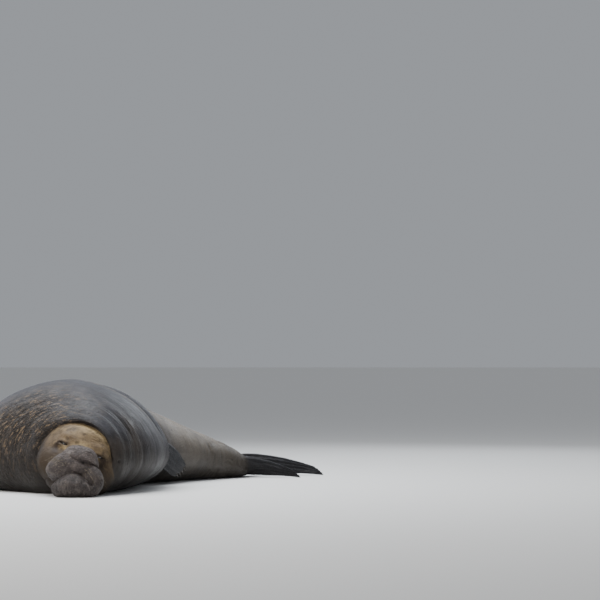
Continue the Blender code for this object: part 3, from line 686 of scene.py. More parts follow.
foreFlipper = {
    "widths": (0.080, 0.100, 0.118, 0.116, 0.092),
    "thick": (0.062, 0.046, 0.032, 0.022, 0.012),
    "digits": (-0.86, -0.44, -0.02, 0.40, 0.82),
    "reach": (0.070, 0.048, 0.018, -0.024, -0.070),
    "webDip": 0.020,
}
hindFlipper = {
    "widths": (0.076, 0.086, 0.074, 0.054, 0.030),
    "thick": (0.080, 0.064, 0.048, 0.034, 0.016),
    "digits": (-0.86, -0.46, 0.0, 0.46, 0.86),
    "reach": (0.050, 0.040, 0.020, -0.004, -0.034),
    "webDip": 0.014,
}
flippers = {
    "foreFlipperLeft": {
        "kind": foreFlipper, "root": (-1.15, 1.72, 0.30), "bend": (-1.00, 1.85, 0.22),
        "tip": (-0.925, 2.06, 0.100), "across": (-0.10, -0.45, -0.88),
    },
    "foreFlipperRight": {
        "kind": foreFlipper, "root": (-2.28, 1.54, 0.20), "bend": (-2.56, 1.66, 0.08),
        "tip": (-2.62, 1.98, 0.022), "across": (-0.75, -0.30, -0.15),
    },
    "hindFlipperLeft": {
        "kind": hindFlipper, "root": (-0.62, 3.09, 0.105), "bend": (-0.30, 3.03, 0.098),
        "tip": (-0.04, 2.99, 0.036), "across": (0.0, -0.42, 0.90),
    },
    "hindFlipperRight": {
        "kind": hindFlipper, "root": (-0.60, 3.22, 0.105), "bend": (-0.20, 3.34, 0.112),
        "tip": (0.15, 3.40, 0.038), "across": (0.0, 0.30, 0.95),
    },
}
flipperSkin = {
    "segments": 150, "rings": 120, "inset": 0.001,
    "packed": 0.85, "full": 0.85, "flat": 0.75,  # rings nearer the tip, rounder edges, flatter faces
    "digitWidth": 0.14, "webShare": 0.62,
    "seed": 100, "seedStep": 5, "swells": (0.04, 0.0016),
    "lines": (0.10, 0.08, 0.022, 0.0020), "thin": 0.13, "stretch": 0.6,
    "smoothTip": (1.0, 0.85), "darkFrom": (0.05, 0.45),
}


def flipperGrid(place, theta, rings):
    kind = place["kind"]
    root, middle, tip = (np.array(place[key]) for key in ("root", "bend", "tip"))
    u = np.linspace(0, 1, rings)[:, None] ** flipperSkin["packed"]
    v = power(np.cos(theta), flipperSkin["full"])
    knots = np.linspace(0, 1, len(kind["widths"]))
    half, thick = (monotone(knots, np.array(kind[key]), u) for key in ("widths", "thick"))
    path = (1 - u) ** 2 * root + 2 * u * (1 - u) * middle + u**2 * tip
    ahead = unit((1 - u) * (middle - root) + u * (tip - middle))
    across = np.array(place["across"])
    side = unit(across - (ahead @ across)[:, None] * ahead)
    face = np.cross(ahead, side)
    ridge = sum(bell(v - digit, flipperSkin["digitWidth"]) for digit in kind["digits"])
    reach = np.interp(v, kind["digits"], kind["reach"]) - kind["webDip"] * (1 - ridge) * u**3
    web = flipperSkin["webShare"]
    thickness = thick * (web + (1 - web) * ridge) * power(np.sin(theta), flipperSkin["flat"])
    return (
        path[:, None]
        + ahead[:, None] * (u**3 * reach)[..., None]
        + side[:, None] * (half * v)[..., None]
        + face[:, None] * (thickness / 2)[..., None]
    )


def makeFlipper(name):
    p = flipperSkin
    theta = np.linspace(0, 2 * math.pi, p["segments"], endpoint=False)[None, :]
    grid = flipperGrid(flippers[name], theta, p["rings"])
    u = np.linspace(0, 1, p["rings"])[:, None]
    seed = p["seed"] + p["seedStep"] * list(flippers).index(name)
    cut = (*p["lines"], seed + 1, p["thin"])
    depth = swell(grid, *p["swells"], seed) - grooves(u * p["stretch"], theta, cut, ramp(u, *p["smoothTip"]))
    return skinPart(name, grid, depth - p["inset"], {"flipper": ramp(u, *p["darkFrom"])})


tail = {
    "root": (-0.50, 3.165, 0.150), "heading": 62, "droop": 0.20, "length": 0.17,
    "half": 0.050, "thick": 0.026, "blunt": 2.6, "openEnd": 0.985,
    "segments": 70, "rings": 50, "inset": 0.001, "swells": (0.03, 0.001, 131),
    "masks": {"flipper": 0.7, "aft": 1.0},
}


def makeTail():
    heading = math.radians(tail["heading"])
    ahead = np.array([math.sin(heading), math.cos(heading), -tail["droop"]])
    side = np.array([math.cos(heading), -math.sin(heading), 0.0])
    theta = np.linspace(0, 2 * math.pi, tail["segments"], endpoint=False)
    u = np.linspace(0, 1, tail["rings"])[:, None]
    size = np.sqrt(1 - (u * tail["openEnd"]) ** tail["blunt"])
    path = np.array(tail["root"]) + u * tail["length"] * ahead
    across = tail["half"] * size * np.cos(theta)
    rise = tail["thick"] * size * np.sin(theta)
    grid = path[:, None] + side * across[..., None] + np.array([0, 0, 1.0]) * rise[..., None]
    return skinPart("tail", grid, swell(grid, *tail["swells"]) - tail["inset"], tail["masks"])


# eyes: a wet ball behind lids that are almost shut

eye = {
    "place": (0.142, -0.082, 0.001),
    "facing": (0.62, -0.74, 0.26),
    "radius": 0.026,
    "behind": 0.0095,
    "seatReach": 0.030, "seatDeep": 0.06, "seatFacing": 0.3, "seatCentre": 0.4,
    "clearRise": 0.0016, "clearWidth": 0.012,
    "segments": 64,
    "rings": 40,
    "dark": (0.010, 0.007, 0.006), "brown": (0.030, 0.018, 0.012), "veins": (180.0, 0.45, 0.65),
}
lids = {
    "long": 0.056, "tall": 0.030, "proud": 0.010, "crown": 1.1, "edge": 1.4,
    "deep": 0.06, "paintDeep": (0.06, 0.04),
    "slitLong": 0.044, "slitWidth": 0.0070, "slitDepth": 0.020, "slitLow": -0.004, "slitArch": 0.007,
    "slitFull": 0.6,
    # rise above the slit's level, arch, depth and width of the fold in each lid
    "folds": {"upper": (0.016, -0.010, 0.0036, 0.0038), "lower": (-0.015, 0.012, 0.0030, 0.0036)},
    "foldBend": 0.5, "foldFull": 0.5,
    "cornerLines": 9, "cornerDepth": 0.0018, "cornerReach": 0.022, "cornerFrom": 0.8, "cornerSharp": 3,
    "lowerBand": 0.017, "upperBand": 0.013, "bandWidth": 0.006,
}


def eyeMiddle(side, own=False):
    place = np.array([eye["place"][0] * side, *eye["place"][1:]])
    return place if own else headToPlan(place)


def eyeAxes(side):  # along the slit, out of the head, up
    out = unit((eye["facing"][0] * side, *eye["facing"][1:]))
    along = unit(np.cross(out, (0.0, 0.0, 1.0)))
    return np.array([along, out, np.cross(along, out)]) @ headTurn().T


def seatEye(points, normals, side):  # the eye's middle on the skin and its axes square to the skin
    middle, axes = eyeMiddle(side) - planCentre, eyeAxes(side)
    a, c, b = np.moveaxis((points - middle) @ axes.T, -1, 0)
    near = (np.hypot(a, b) < eye["seatReach"]) & (np.abs(c) < eye["seatDeep"])
    near = near & (normals @ axes[1] > eye["seatFacing"])
    out = unit(unit(normals[near].mean(axis=0)) + axes[1])
    along = unit(axes[0] - (axes[0] @ out) * out)
    centre = near & (np.hypot(a, b) < eye["seatCentre"] * eye["seatReach"])
    seat = middle + axes[1] * c[centre].mean()
    return seat, np.array([along, out, np.cross(along, out)])


def slitLevel(a):  # height of the slit, along the eye
    return lids["slitLow"] + lids["slitArch"] * (a / lids["slitLong"]) ** 2


def lidShares(a, b):  # how much a place near an eye lies in the slit, on the lower lid and on the upper lid
    off = b - slitLevel(a)
    opened = ramp(np.abs(a), lids["slitLong"], lids["slitLong"] * lids["slitFull"])
    slit = bell(off, lids["slitWidth"]) * opened
    lower = bell(off + lids["lowerBand"], lids["bandWidth"]) * opened
    upper = bell(off - lids["upperBand"], lids["bandWidth"]) * opened
    return slit, lower, upper


def paintLids(points, masks, seat, axes):  # the slit painted dark as shade, the lower lid pale, the upper lid's edge painted brown as the shade of the brow's fold
    a, c, b = np.moveaxis((points - seat) @ axes.T, -1, 0)
    near = ramp(np.abs(c), *lids["paintDeep"])
    for mask, share in zip(("follicle", "glow", "stain"), lidShares(a, b)):
        place = maskNames.index(mask)
        masks[:, place] = np.maximum(masks[:, place], share * near)


def shutLids(points, seat, axes):  # how far the skin near an eye is moved out
    a, c, b = np.moveaxis((points - seat) @ axes.T, -1, 0)
    level, far = slitLevel(a), a / lids["long"]
    bulge = lids["proud"] * np.exp(-lids["crown"] * (far**2 + (b / lids["tall"]) ** 2) ** lids["edge"])
    slit = lids["slitDepth"] * lidShares(a, b)[0]
    span = ramp(np.abs(a), lids["long"], lids["long"] * lids["foldFull"])
    folds = 0
    for rise, arch, depth, width in lids["folds"].values():
        folds = folds + depth * bell(b - lids["foldBend"] * level - rise - arch * far**2, width) * span
    turn = np.arctan2(b - level, np.abs(a) - lids["slitLong"] * lids["cornerFrom"])
    corner = bell(np.hypot(np.abs(a) - lids["long"], b), lids["cornerReach"])
    rays = np.maximum(np.cos(turn * lids["cornerLines"]), 0) ** lids["cornerSharp"]
    rays = rays * corner * lids["cornerDepth"]
    return (bulge - slit - folds - rays) * bell(c, lids["deep"])


def makeEye(name, seat, axes):
    centre = seat - axes[1] * (eye["radius"] + eye["behind"] - lids["proud"])
    bm = bmesh.new()
    bmesh.ops.create_uvsphere(bm, u_segments=eye["segments"], v_segments=eye["rings"], radius=eye["radius"])
    for vert in bm.verts:  # the poles lie along the slit, and the clear front stands a little proud
        own = np.array(vert.co)
        own = np.array([own[2], own[1], own[0]])
        own[1] += eye["clearRise"] * bell(np.hypot(own[0], own[2]), eye["clearWidth"]) * (own[1] > 0)
        vert.co = Vector(own @ axes + centre)
    bm.normal_update()
    if bm.calc_volume(signed=True) < 0:
        bmesh.ops.reverse_faces(bm, faces=bm.faces)
    return finishedPiece(name, bm)


def finishedPiece(name, bm):
    mesh = bpy.data.meshes.new(name)
    bm.to_mesh(mesh)
    bm.free()
    piece = bpy.data.objects.new(name, mesh)
    bpy.context.scene.collection.objects.link(piece)
    mesh.shade_smooth()
    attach(piece, "root")
    return piece


# the skin: every part fused into one surface, its joins eased, its lids and nostrils pressed in

joins = {  # how far from a join the skin is eased, how strongly and how often
    "reach": {"body": 1.0, "foreFlipper": 0.060, "hindFlipper": 0.050, "tail": 0.035, "head": 0.016,
              "lowerJaw": 0.012, "proboscis": 0.026, "lastLobe": 0.014, "creaseFloor": 0.024},
    "hoodReach": 0.085, "hoodTilt": 0.9, "hoodFrom": (0.02, 0.20),
    "full": 0.15, "strength": 0.6, "rounds": 40,
}
refined = {"eye": 0.075, "nostril": 0.045, "ear": 0.030, "shortest": 0.0017, "margin": 1.2}
softened = {"maskRounds": 6, "bendRounds": 4, "bendSize": 0.0012}
ear = {"place": (0.268, 0.045, 0.012), "size": 0.0085, "depth": 0.012}


def fuse(parts):
    solids = [closedMesh(part) for part in parts]
    target, tools = solids[0], solids[1:]
    group = bpy.data.collections.new("fused")
    for tool in tools:
        group.objects.link(tool)
    modifier = target.modifiers.new("fuse", "BOOLEAN")
    modifier.operation = "UNION"
    modifier.operand_type = "COLLECTION"
    modifier.collection = group
    modifier.solver = "MANIFOLD"
    graph = bpy.context.evaluated_depsgraph_get()
    mesh = bpy.data.meshes.new_from_object(target.evaluated_get(graph))
    bpy.data.collections.remove(group)
    for solid in solids:
        bpy.data.objects.remove(solid)
    return mesh


def meshArrays(mesh):
    points = np.empty(len(mesh.vertices) * 3)
    mesh.vertices.foreach_get("co", points)
    edges = np.empty(len(mesh.edges) * 2, np.int64)
    mesh.edges.foreach_get("vertices", edges)
    return points.reshape(-1, 3), edges.reshape(-1, 2)


def neighbourMean(values, edges):
    count = len(values)
    a, b = np.concatenate([edges[:, 0], edges[:, 1]]), np.concatenate([edges[:, 1], edges[:, 0]])
    number = np.maximum(np.bincount(a, minlength=count), 1)
    if values.ndim == 1:
        return np.bincount(a, values[b], count) / number
    return np.stack([np.bincount(a, column[b], count) / number for column in values.T], axis=-1)


def treeOf(points):
    tree = KDTree(len(points))
    for i, point in enumerate(points):
        tree.insert(point, i)
    tree.balance()
    return tree


def nearestIn(tree, points):
    found = [tree.find(point) for point in points]
    return np.array([f[1] for f in found]), np.array([f[2] for f in found])


def sourceOf(parts):  # every part's points with its number, masks and lie
    places = np.concatenate([part["grid"].reshape(-1, 3) - planCentre for part in parts])
    label = np.concatenate([np.full(part["grid"][..., 0].size, i) for i, part in enumerate(parts)])
    masks = np.concatenate([part["masks"].reshape(-1, len(maskNames)) for part in parts])
    lie = np.concatenate([part["lie"].reshape(-1, 3) for part in parts])
    flow = np.concatenate([part["flow"].reshape(-1, 3) for part in parts])
    return places, label, masks, lie, flow


def easeJoins(points, edges, label, parts):
    seam = edges[label[edges[:, 0]] != label[edges[:, 1]]]  # edges that cross a join
    reachOf = np.array([next(reach for key, reach in joins["reach"].items() if part["name"].startswith(key))
                        for part in parts])
    seamVerts, first = np.unique(seam.ravel(), return_index=True)
    other = seam[:, ::-1].ravel()[first]
    reach = np.minimum(reachOf[label[seamVerts]], reachOf[label[other]])
    softer = label[seamVerts] + label[other] == 1  # the hood melts into the head at its right and below
    own = planToHead(points[seamVerts] + planCentre)
    soft = ramp(-own[:, 0] * joins["hoodTilt"] - own[:, 2], *joins["hoodFrom"])
    reach = np.where(softer, reach + (joins["hoodReach"] - reach) * soft, reach)
    index, far = nearestIn(treeOf(points[seamVerts]), points)
    ease = 1 - ramp(far, joins["full"] * reach[index], reach[index])
    for _ in range(joins["rounds"]):
        points = points + joins["strength"] * ease[:, None] * (neighbourMean(points, edges) - points)
    return onGround(points)


def refine(mesh, spots):
    bm = bmesh.new()
    bm.from_mesh(mesh)
    for place, reach in spots:
        centre, wide = Vector(place), reach * refined["margin"]
        near = [
            edge for edge in bm.edges
            if (edge.verts[0].co - centre).length < reach and edge.calc_length() > refined["shortest"]
        ]
        bmesh.ops.subdivide_edges(bm, edges=near, cuts=1)
        near = [
            face for face in bm.faces
            if len(face.verts) > 3 and (face.calc_center_median() - centre).length < wide
        ]
        bmesh.ops.triangulate(bm, faces=near)
    bm.to_mesh(mesh)
    bm.free()


def nostrils():
    table = sections(lastLobe["measures"], lastLobe["sections"])
    end = np.array([table[key][-1] for key in "xyz"])
    axes = unit(lastLobe["nostrilAxes"])
    half = lastLobe["nostrilSpacing"] / 2
    return [(end + (*lastLobe["nostrilShift"], half * high), axes) for high in (-1, 1)]


def blurred(values, edges, rounds):
    for _ in range(rounds):
        values = 0.5 * values + 0.5 * neighbourMean(values, edges)
    return values


def curvatureMask(points, edges, normals):  # above 0 on rims, below 0 in creases
    bend = ((points - neighbourMean(points, edges)) * normals).sum(-1) / softened["bendSize"]
    return np.clip(blurred(bend, edges, softened["bendRounds"]), -1, 1)


def vertexNormals(mesh):
    normals = np.empty(len(mesh.vertices) * 3)
    mesh.vertex_normals.foreach_get("vector", normals)
    return normals.reshape(-1, 3)


def writeMask(mesh, name, values):
    attribute = mesh.attributes.new(name, "FLOAT", "POINT")
    attribute.data.foreach_set("value", np.ascontiguousarray(values, np.float32))


def writeLie(mesh, values):
    attribute = mesh.attributes.new("lie", "FLOAT_VECTOR", "POINT")
    attribute.data.foreach_set("vector", np.ascontiguousarray(values, np.float32).ravel())


print("shaping the skin's parts")
parts = [makeBody(), makeHead(), makeJaw(), makeProboscis(), makeLobe(), makeCreaseFloor()]
parts += [*map(makeFlipper, flippers), makeTail()]
print("fusing", sum(part["grid"][..., 0].size for part in parts), "points")
skinMesh = fuse(parts)
places, label, masks, lie, flow = sourceOf(parts)
sourceTree = treeOf(places)
points, edges = meshArrays(skinMesh)
index, _ = nearestIn(sourceTree, points)
points = easeJoins(points, edges, label[index], parts)
skinMesh.vertices.foreach_set("co", points.ravel())
print("fused skin", len(skinMesh.vertices), "points")

eyeSpots = [(eyeMiddle(side) - planCentre, refined["eye"]) for side in (1, -1)]
earPlaces = [headToPlan((ear["place"][0] * side, *ear["place"][1:])) - planCentre for side in (1, -1)]
spots = eyeSpots + eyeSpots + [(place - planCentre, refined["nostril"]) for place, _ in nostrils()]
spots += [(place, refined["ear"]) for place in earPlaces]
refine(skinMesh, spots)
skinMesh.update()
points, edges = meshArrays(skinMesh)
normals = vertexNormals(skinMesh)
eyeSeats = [seatEye(points, normals, side) for side in (1, -1)]
for seat, axes in eyeSeats:
    points = points + shutLids(points, seat, axes)[:, None] * axes[1]
for place, axes in nostrils():
    off = ((points - (place - planCentre)) @ axes.T) / np.array(lastLobe["nostril"])
    pit = lastLobe["nostrilDepth"] * np.exp(-((off**2).sum(-1) ** lastLobe["nostrilEdge"]))
    points = points - axes[1] * pit[:, None]
for place in earPlaces:
    pit = bell(np.linalg.norm(points - place, axis=-1), ear["size"])
    points = points - normals * (ear["depth"] * pit)[:, None]
points = onGround(points)
skinMesh.vertices.foreach_set("co", points.ravel())
skinMesh.update()

index, _ = nearestIn(sourceTree, points)
masks, lie, flow, label = masks[index], lie[index], flow[index], label[index]
masks = blurred(masks, edges, softened["maskRounds"])
for seat, axes in eyeSeats:
    paintLids(points, masks, seat, axes)
normals = vertexNormals(skinMesh)
bendMask = curvatureMask(points, edges, normals)
skin = bpy.data.objects.new("skin", skinMesh)
bpy.context.scene.collection.objects.link(skin)
for i, name in enumerate(maskNames):
    writeMask(skinMesh, name, masks[:, i])
writeMask(skinMesh, "bend", bendMask)
writeLie(skinMesh, lie)
skinMesh.shade_smooth()
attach(skin, "root")
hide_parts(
    "neck", "chest", "belly", "hindquarters", "tail", "head", "lower_jaw", "proboscis",
    "fore_flipper_left", "fore_flipper_right", "hind_flipper_left", "hind_flipper_right",
)
print("skin", len(skinMesh.polygons), "faces")

eyeLeft, eyeRight = makeEye("eyeLeft", *eyeSeats[0]), makeEye("eyeRight", *eyeSeats[1])
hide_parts("eye_left")
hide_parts("eye_right")


# whiskers and claws are tapered tubes

tubeGuide = (0.31, 0.52, 0.80)  # a direction that no tube runs along


def addTube(bm, path, radii, sides):
    path = np.asarray(path)
    ahead = unit(np.gradient(path, axis=0))
    aside = unit(np.cross(ahead, unit(tubeGuide)))
    above = np.cross(ahead, aside)
    loops = []
    for place, a, b, radius in zip(path, aside, above, radii):
        turns = np.linspace(0, 2 * math.pi, sides, endpoint=False)
        loops.append([bm.verts.new(place + radius * (a * math.cos(t) + b * math.sin(t))) for t in turns])
    for one, two in zip(loops, loops[1:]):
        for i in range(sides):
            bm.faces.new((one[i - 1], one[i], two[i], two[i - 1]))
    bm.faces.new(loops[0])
    bm.faces.new(loops[-1])


def makeWhiskers():
    w = whiskers
    rng = np.random.default_rng(w["seed"])
    stepAlong, stepAround = w["probe"]
    bm = bmesh.new()
    for row, angle in follicles():
        near = proboscisGrid(np.array([[row], [row + stepAlong]]), np.radians([[angle, angle + stepAround]]))
        root = headToPlan(near[0, 0])
        out = unit(np.cross(near[1, 0] - near[0, 0], near[0, 1] - near[0, 0]))
        out = out * np.sign(-out[1]) @ headTurn().T
        aside = unit(headToPlan((1.0 if angle < 90 else -1.0, 0, 0)) - np.array(head["place"]))
        start = out + w["aside"] * aside + np.array([0, 0, w["fall"]])
        start = start + rng.normal(scale=w["scatter"], size=3)
        length = rng.uniform(*w["length"])
        t = np.linspace(0, 1, w["rings"])[:, None]
        bend = np.array([0, w["sweep"], -w["droop"]])
        path = root - w["sunk"] * out + unit(start) * length * t + bend * length * t**2
        radii = w["root"] + (w["tip"] - w["root"]) * t[:, 0] ** w["taper"]
        addTube(bm, onGround(path) - planCentre, radii, w["sides"])
    bmesh.ops.recalc_face_normals(bm, faces=bm.faces)
    return finishedPiece("whiskers", bm)


claws = {
    "length": 0.052, "root": 0.0075, "tip": 0.0012, "hook": 0.010, "taper": 1.6,
    "spread": 0.95, "sunk": 0.016, "clear": 0.001,  # across the tip, into the skin, over the floor
    "sides": 14, "rings": 12,
}


def makeClaws(name, flipperName):
    place = flippers[flipperName]
    kind = place["kind"]
    middle, tip, across = (np.array(place[key]) for key in ("bend", "tip", "across"))
    ahead = unit(tip - middle)
    side = unit(across - ahead * (ahead @ across))
    bm = bmesh.new()
    for digit, reach in zip(kind["digits"], kind["reach"]):
        start = tip + side * kind["widths"][-1] * digit * claws["spread"] + ahead * (reach - claws["sunk"])
        start[2] = max(start[2], claws["root"] + claws["clear"])
        t = np.linspace(0, 1, claws["rings"])[:, None]
        path = start + ahead * claws["length"] * t + np.array([0, 0, -claws["hook"]]) * t**2
        radii = claws["tip"] + (claws["root"] - claws["tip"]) * (1 - t[:, 0] ** claws["taper"])
        path[:, 2] = np.maximum(path[:, 2], radii)
        addTube(bm, path - planCentre, radii, claws["sides"])
    bmesh.ops.recalc_face_normals(bm, faces=bm.faces)
    return finishedPiece(name, bm)


whiskerPiece = makeWhiskers()
clawPieces = [makeClaws("clawsLeft", "foreFlipperLeft"), makeClaws("clawsRight", "foreFlipperRight")]
print("whiskers and claws made")


# short coat: thin tufts that lie back along the body

coats = {
    "coatNeck": {"count": 48000, "length": 0.013, "width": 0.0026, "lift": 0.14, "slot": "body_hide"},
    "coatBack": {"count": 48000, "length": 0.014, "width": 0.0028, "lift": 0.10, "slot": "body_hide"},
    "coatRear": {"count": 48000, "length": 0.014, "width": 0.0028, "lift": 0.10, "slot": "body_hide"},
    "coatFace": {"count": 46000, "length": 0.0075, "width": 0.0016, "lift": 0.20, "slot": "face_hide"},
}
coatEnds = {"neck": (-0.45, -0.62), "rear": (0.15, 0.30)}  # along Y, where one coat gives way to the next
tuft = {
    "seedStep": 7, "lowest": 0.012, "scatter": 0.12, "sizes": (0.65, 1.25), "lifts": (0.4, 1.3),
    "evenWidth": 0.5, "sunk": 0.0012, "ridgeUp": 0.55, "ridgeBack": 0.5,
}
bake = {"patch": 0.003, "corners": ((0, 0), (1, 0), (0.5, 0.6), (0.5, 1))}


def coatRegion(name, places, label, masks):  # where each coat grows, 0 to 1
    isBody = label == 0
    face, nose = masks[:, maskNames.index("face")], masks[:, maskNames.index("nose")]
    if name == "coatFace":
        return face * (1 - nose)
    neckward = ramp(places[:, 1], *coatEnds["neck"])
    rearward = ramp(places[:, 1], *coatEnds["rear"])
    if name == "coatNeck":
        return isBody * neckward
    if name == "coatBack":
        return isBody * (1 - neckward) * (1 - rearward)
    return isBody * rearward


def makeCoat(name, region, material):
    coat = coats[name]
    rng = np.random.default_rng(len(name) * tuft["seedStep"] + coat["count"])
    skinMesh.calc_loop_triangles()
    corners = np.empty(len(skinMesh.loop_triangles) * 3, np.int32)
    skinMesh.loop_triangles.foreach_get("vertices", corners)
    corners = corners.reshape(-1, 3)
    a, b, c = (points[corners[:, i]] for i in range(3))
    area = np.linalg.norm(np.cross(b - a, c - a), axis=-1) / 2
    shown = (a[:, 2] > tuft["lowest"]) | (b[:, 2] > tuft["lowest"])
    chance = area * region[corners].mean(axis=1) * shown
    pick = np.searchsorted(np.cumsum(chance) / chance.sum(), rng.random(coat["count"]))
    u, v = rng.random((2, coat["count"]))
    flip = u + v > 1
    u, v = np.where(flip, 1 - u, u), np.where(flip, 1 - v, v)
    weight = np.stack([1 - u - v, u, v], axis=-1)
    tri = corners[pick]

    def mixed(values):
        return (values[tri] * weight.reshape(-1, 3, *[1] * (values.ndim - 1))).sum(axis=1)

    root, out = mixed(points), unit(mixed(normals))
    back = mixed(flow)
    stray = rng.normal(scale=tuft["scatter"], size=root.shape)
    back = unit(back - (back * out).sum(-1, keepdims=True) * out + stray)
    back = unit(back - (back * out).sum(-1, keepdims=True) * out)
    side = np.cross(out, back)
    size = rng.uniform(*tuft["sizes"], coat["count"])[:, None]
    length = coat["length"] * size
    width = coat["width"] * (tuft["evenWidth"] + (1 - tuft["evenWidth"]) * size)
    lift = coat["lift"] * rng.uniform(*tuft["lifts"], coat["count"])[:, None]
    base = root - out * tuft["sunk"]
    verts = np.stack(
        [
            base - side * width / 2,
            base + side * width / 2,
            base + out * width * tuft["ridgeUp"] + back * width * tuft["ridgeBack"],
            root + back * length + out * (length * lift),
        ],
        axis=1,
    )
    verts = onGround(verts.reshape(-1, 3)).reshape(-1, 4, 3)
    four = np.arange(coat["count"])[:, None] * 4
    faces = np.concatenate([four + np.array(f) for f in ((0, 2, 1), (0, 3, 2), (1, 2, 3), (0, 1, 3))], axis=1)
    faces = faces.reshape(-1, 3)
    made = bpy.data.meshes.new(name)
    made.vertices.add(len(verts) * 4)
    made.vertices.foreach_set("co", verts.ravel())
    made.loops.add(faces.size)
    made.loops.foreach_set("vertex_index", faces.ravel())
    made.polygons.add(len(faces))
    made.polygons.foreach_set("loop_start", np.arange(0, faces.size, 3))
    made.update(calc_edges=True)
    rootMasks = mixed(masks)
    for i, maskName in enumerate(maskNames):
        writeMask(made, maskName, np.repeat(rootMasks[:, i], 4))
    writeMask(made, "bend", np.repeat(mixed(bendMask), 4))
    writeLie(made, np.repeat(mixed(lie), 4, axis=0))
    layer = made.uv_layers.new(name="OFBake")
    where = unwrapped(mixed(lie), label[tri[:, 0]])
    uv = where[:, None] * (1 - bake["patch"]) + np.array(bake["corners"])[None] * bake["patch"]
    layer.data.foreach_set("uv", uv.reshape(-1, 2)[faces.ravel()].ravel().astype(np.float32))
    made.shade_smooth()
    made.normals_split_custom_set_from_vertices(np.repeat(out, 4, axis=0))  # lit like the skin below
    piece = bpy.data.objects.new(name, made)
    bpy.context.scene.collection.objects.link(piece)
    made.materials.append(material)
    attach(piece, "root")
    return piece


def unwrapped(lie, label):  # each part's rings laid flat over the whole map, so parts share its places
    where = np.zeros((len(lie), 2))
    for part in np.unique(label):
        mine = label == part
        spread = lie[mine][:, :2]
        low, high = spread.min(axis=0), spread.max(axis=0)
        where[mine] = (spread - low) / np.maximum(high - low, 1e-6)
    return np.clip(where, 0, 1)


# shader building blocks

def addNode(tree, kind, links=None, **settings):
    node = tree.nodes.new(kind)
    for key, value in settings.items():
        setattr(node, key, value)
    for socket, value in (links or {}).items():
        target = node.inputs[socket]
        if isinstance(value, bpy.types.NodeSocket):
            tree.links.new(value, target)
        else:
            target.default_value = value
    return node


def newGroup(name, inputs, outputs):  # each input's name and value; a value of three is a vector
    group = bpy.data.node_groups.new(name, "ShaderNodeTree")
    for socketName, value in inputs.items():
        kind = "NodeSocketVector" if isinstance(value, tuple) else "NodeSocketFloat"
        group.interface.new_socket(name=socketName, in_out="INPUT", socket_type=kind).default_value = value
    for socketName in outputs:
        group.interface.new_socket(name=socketName, in_out="OUTPUT", socket_type="NodeSocketFloat")
    return group, group.nodes.new("NodeGroupInput").outputs, group.nodes.new("NodeGroupOutput").inputs


def mathNode(tree, operation, a, b=0.0, clamp=False):
    node = addNode(tree, "ShaderNodeMath", {0: a, 1: b}, operation=operation, use_clamp=clamp)
    return node.outputs[0]


def mapped(tree, value, start=0.0, end=1.0, low=0.0, high=1.0, smooth=False):  # start and end go to low and high
    ends = {"Value": value, "From Min": start, "From Max": end, "To Min": low, "To Max": high}
    kind = "SMOOTHSTEP" if smooth else "LINEAR"
    return addNode(tree, "ShaderNodeMapRange", ends, interpolation_type=kind).outputs[0]


def bump(tree, strength, distance, height, normal=None):
    links = {"Strength": strength, "Distance": distance, "Height": height}
    if normal is not None:
        links["Normal"] = normal
    return addNode(tree, "ShaderNodeBump", links).outputs[0]


def noiseNode(tree, place, scale, detail, **more):
    links = {"Vector": place, "Scale": scale, "Detail": detail, **more}
    return addNode(tree, "ShaderNodeTexNoise", links).outputs


def scaled(tree, place, along, around):  # a place times so many to the metre each way
    scale = addNode(tree, "ShaderNodeCombineXYZ", {"X": along, "Y": around, "Z": 1.0}).outputs[0]
    return vectorNode(tree, "MULTIPLY", {0: place, 1: scale})


def vectorNode(tree, operation, links):
    return addNode(tree, "ShaderNodeVectorMath", links, operation=operation).outputs[0]


origin = (0, 0, 0)
patchRoughness = 0.6
furNoise = {"clumpScale": 0.22, "streakDetail": 2.0, "clumpDetail": 3.0}
dotEdge = 0.6  # a dot's full part, as a share of its size
pebbles = {"warpScale": 12.0, "warpDetail": 2.0, "warp": 0.03, "grooveWidth": 0.22}


def blotchesGroup():  # soft patches: 0 to 1 between Low and High of a noise
    inputs = {"Vector": origin, "Scale": 5.0, "Low": 0.4, "High": 0.6, "Detail": 4.0}
    group, given, result = newGroup("blotches", inputs, ["Mask"])
    noise = noiseNode(group, given["Vector"], given["Scale"], given["Detail"], Roughness=patchRoughness)[0]
    group.links.new(mapped(group, noise, given["Low"], given["High"], smooth=True), result["Mask"])
    return group


def furGroup():  # fine streaks along the lie of the coat
    inputs = {"Lie": origin, "Length": 60.0, "Width": 400.0}
    group, given, result = newGroup("furLie", inputs, ["Streak", "Clump"])
    fine = scaled(group, given["Lie"], given["Length"], given["Width"])
    coarse = vectorNode(group, "SCALE", {0: fine, "Scale": furNoise["clumpScale"]})
    group.links.new(noiseNode(group, fine, 1.0, furNoise["streakDetail"])[0], result["Streak"])
    group.links.new(noiseNode(group, coarse, 1.0, furNoise["clumpDetail"])[0], result["Clump"])
    return group


def streaksGroup():  # long marks: so many to the metre along the body and around it, and turned a little
    inputs = {"Lie": origin, "Along": 40.0, "Around": 5.0, "Turn": 0.0, "Low": 0.45, "High": 0.62,
              "Detail": 3.0}
    group, given, result = newGroup("streaks", inputs, ["Mask"])
    turned = addNode(group, "ShaderNodeVectorRotate", {"Vector": given["Lie"], "Angle": given["Turn"]},
                     rotation_type="Z_AXIS").outputs[0]
    place = scaled(group, turned, given["Along"], given["Around"])
    noise = noiseNode(group, place, 1.0, given["Detail"], Roughness=patchRoughness)[0]
    group.links.new(mapped(group, noise, given["Low"], given["High"], smooth=True), result["Mask"])
    return group


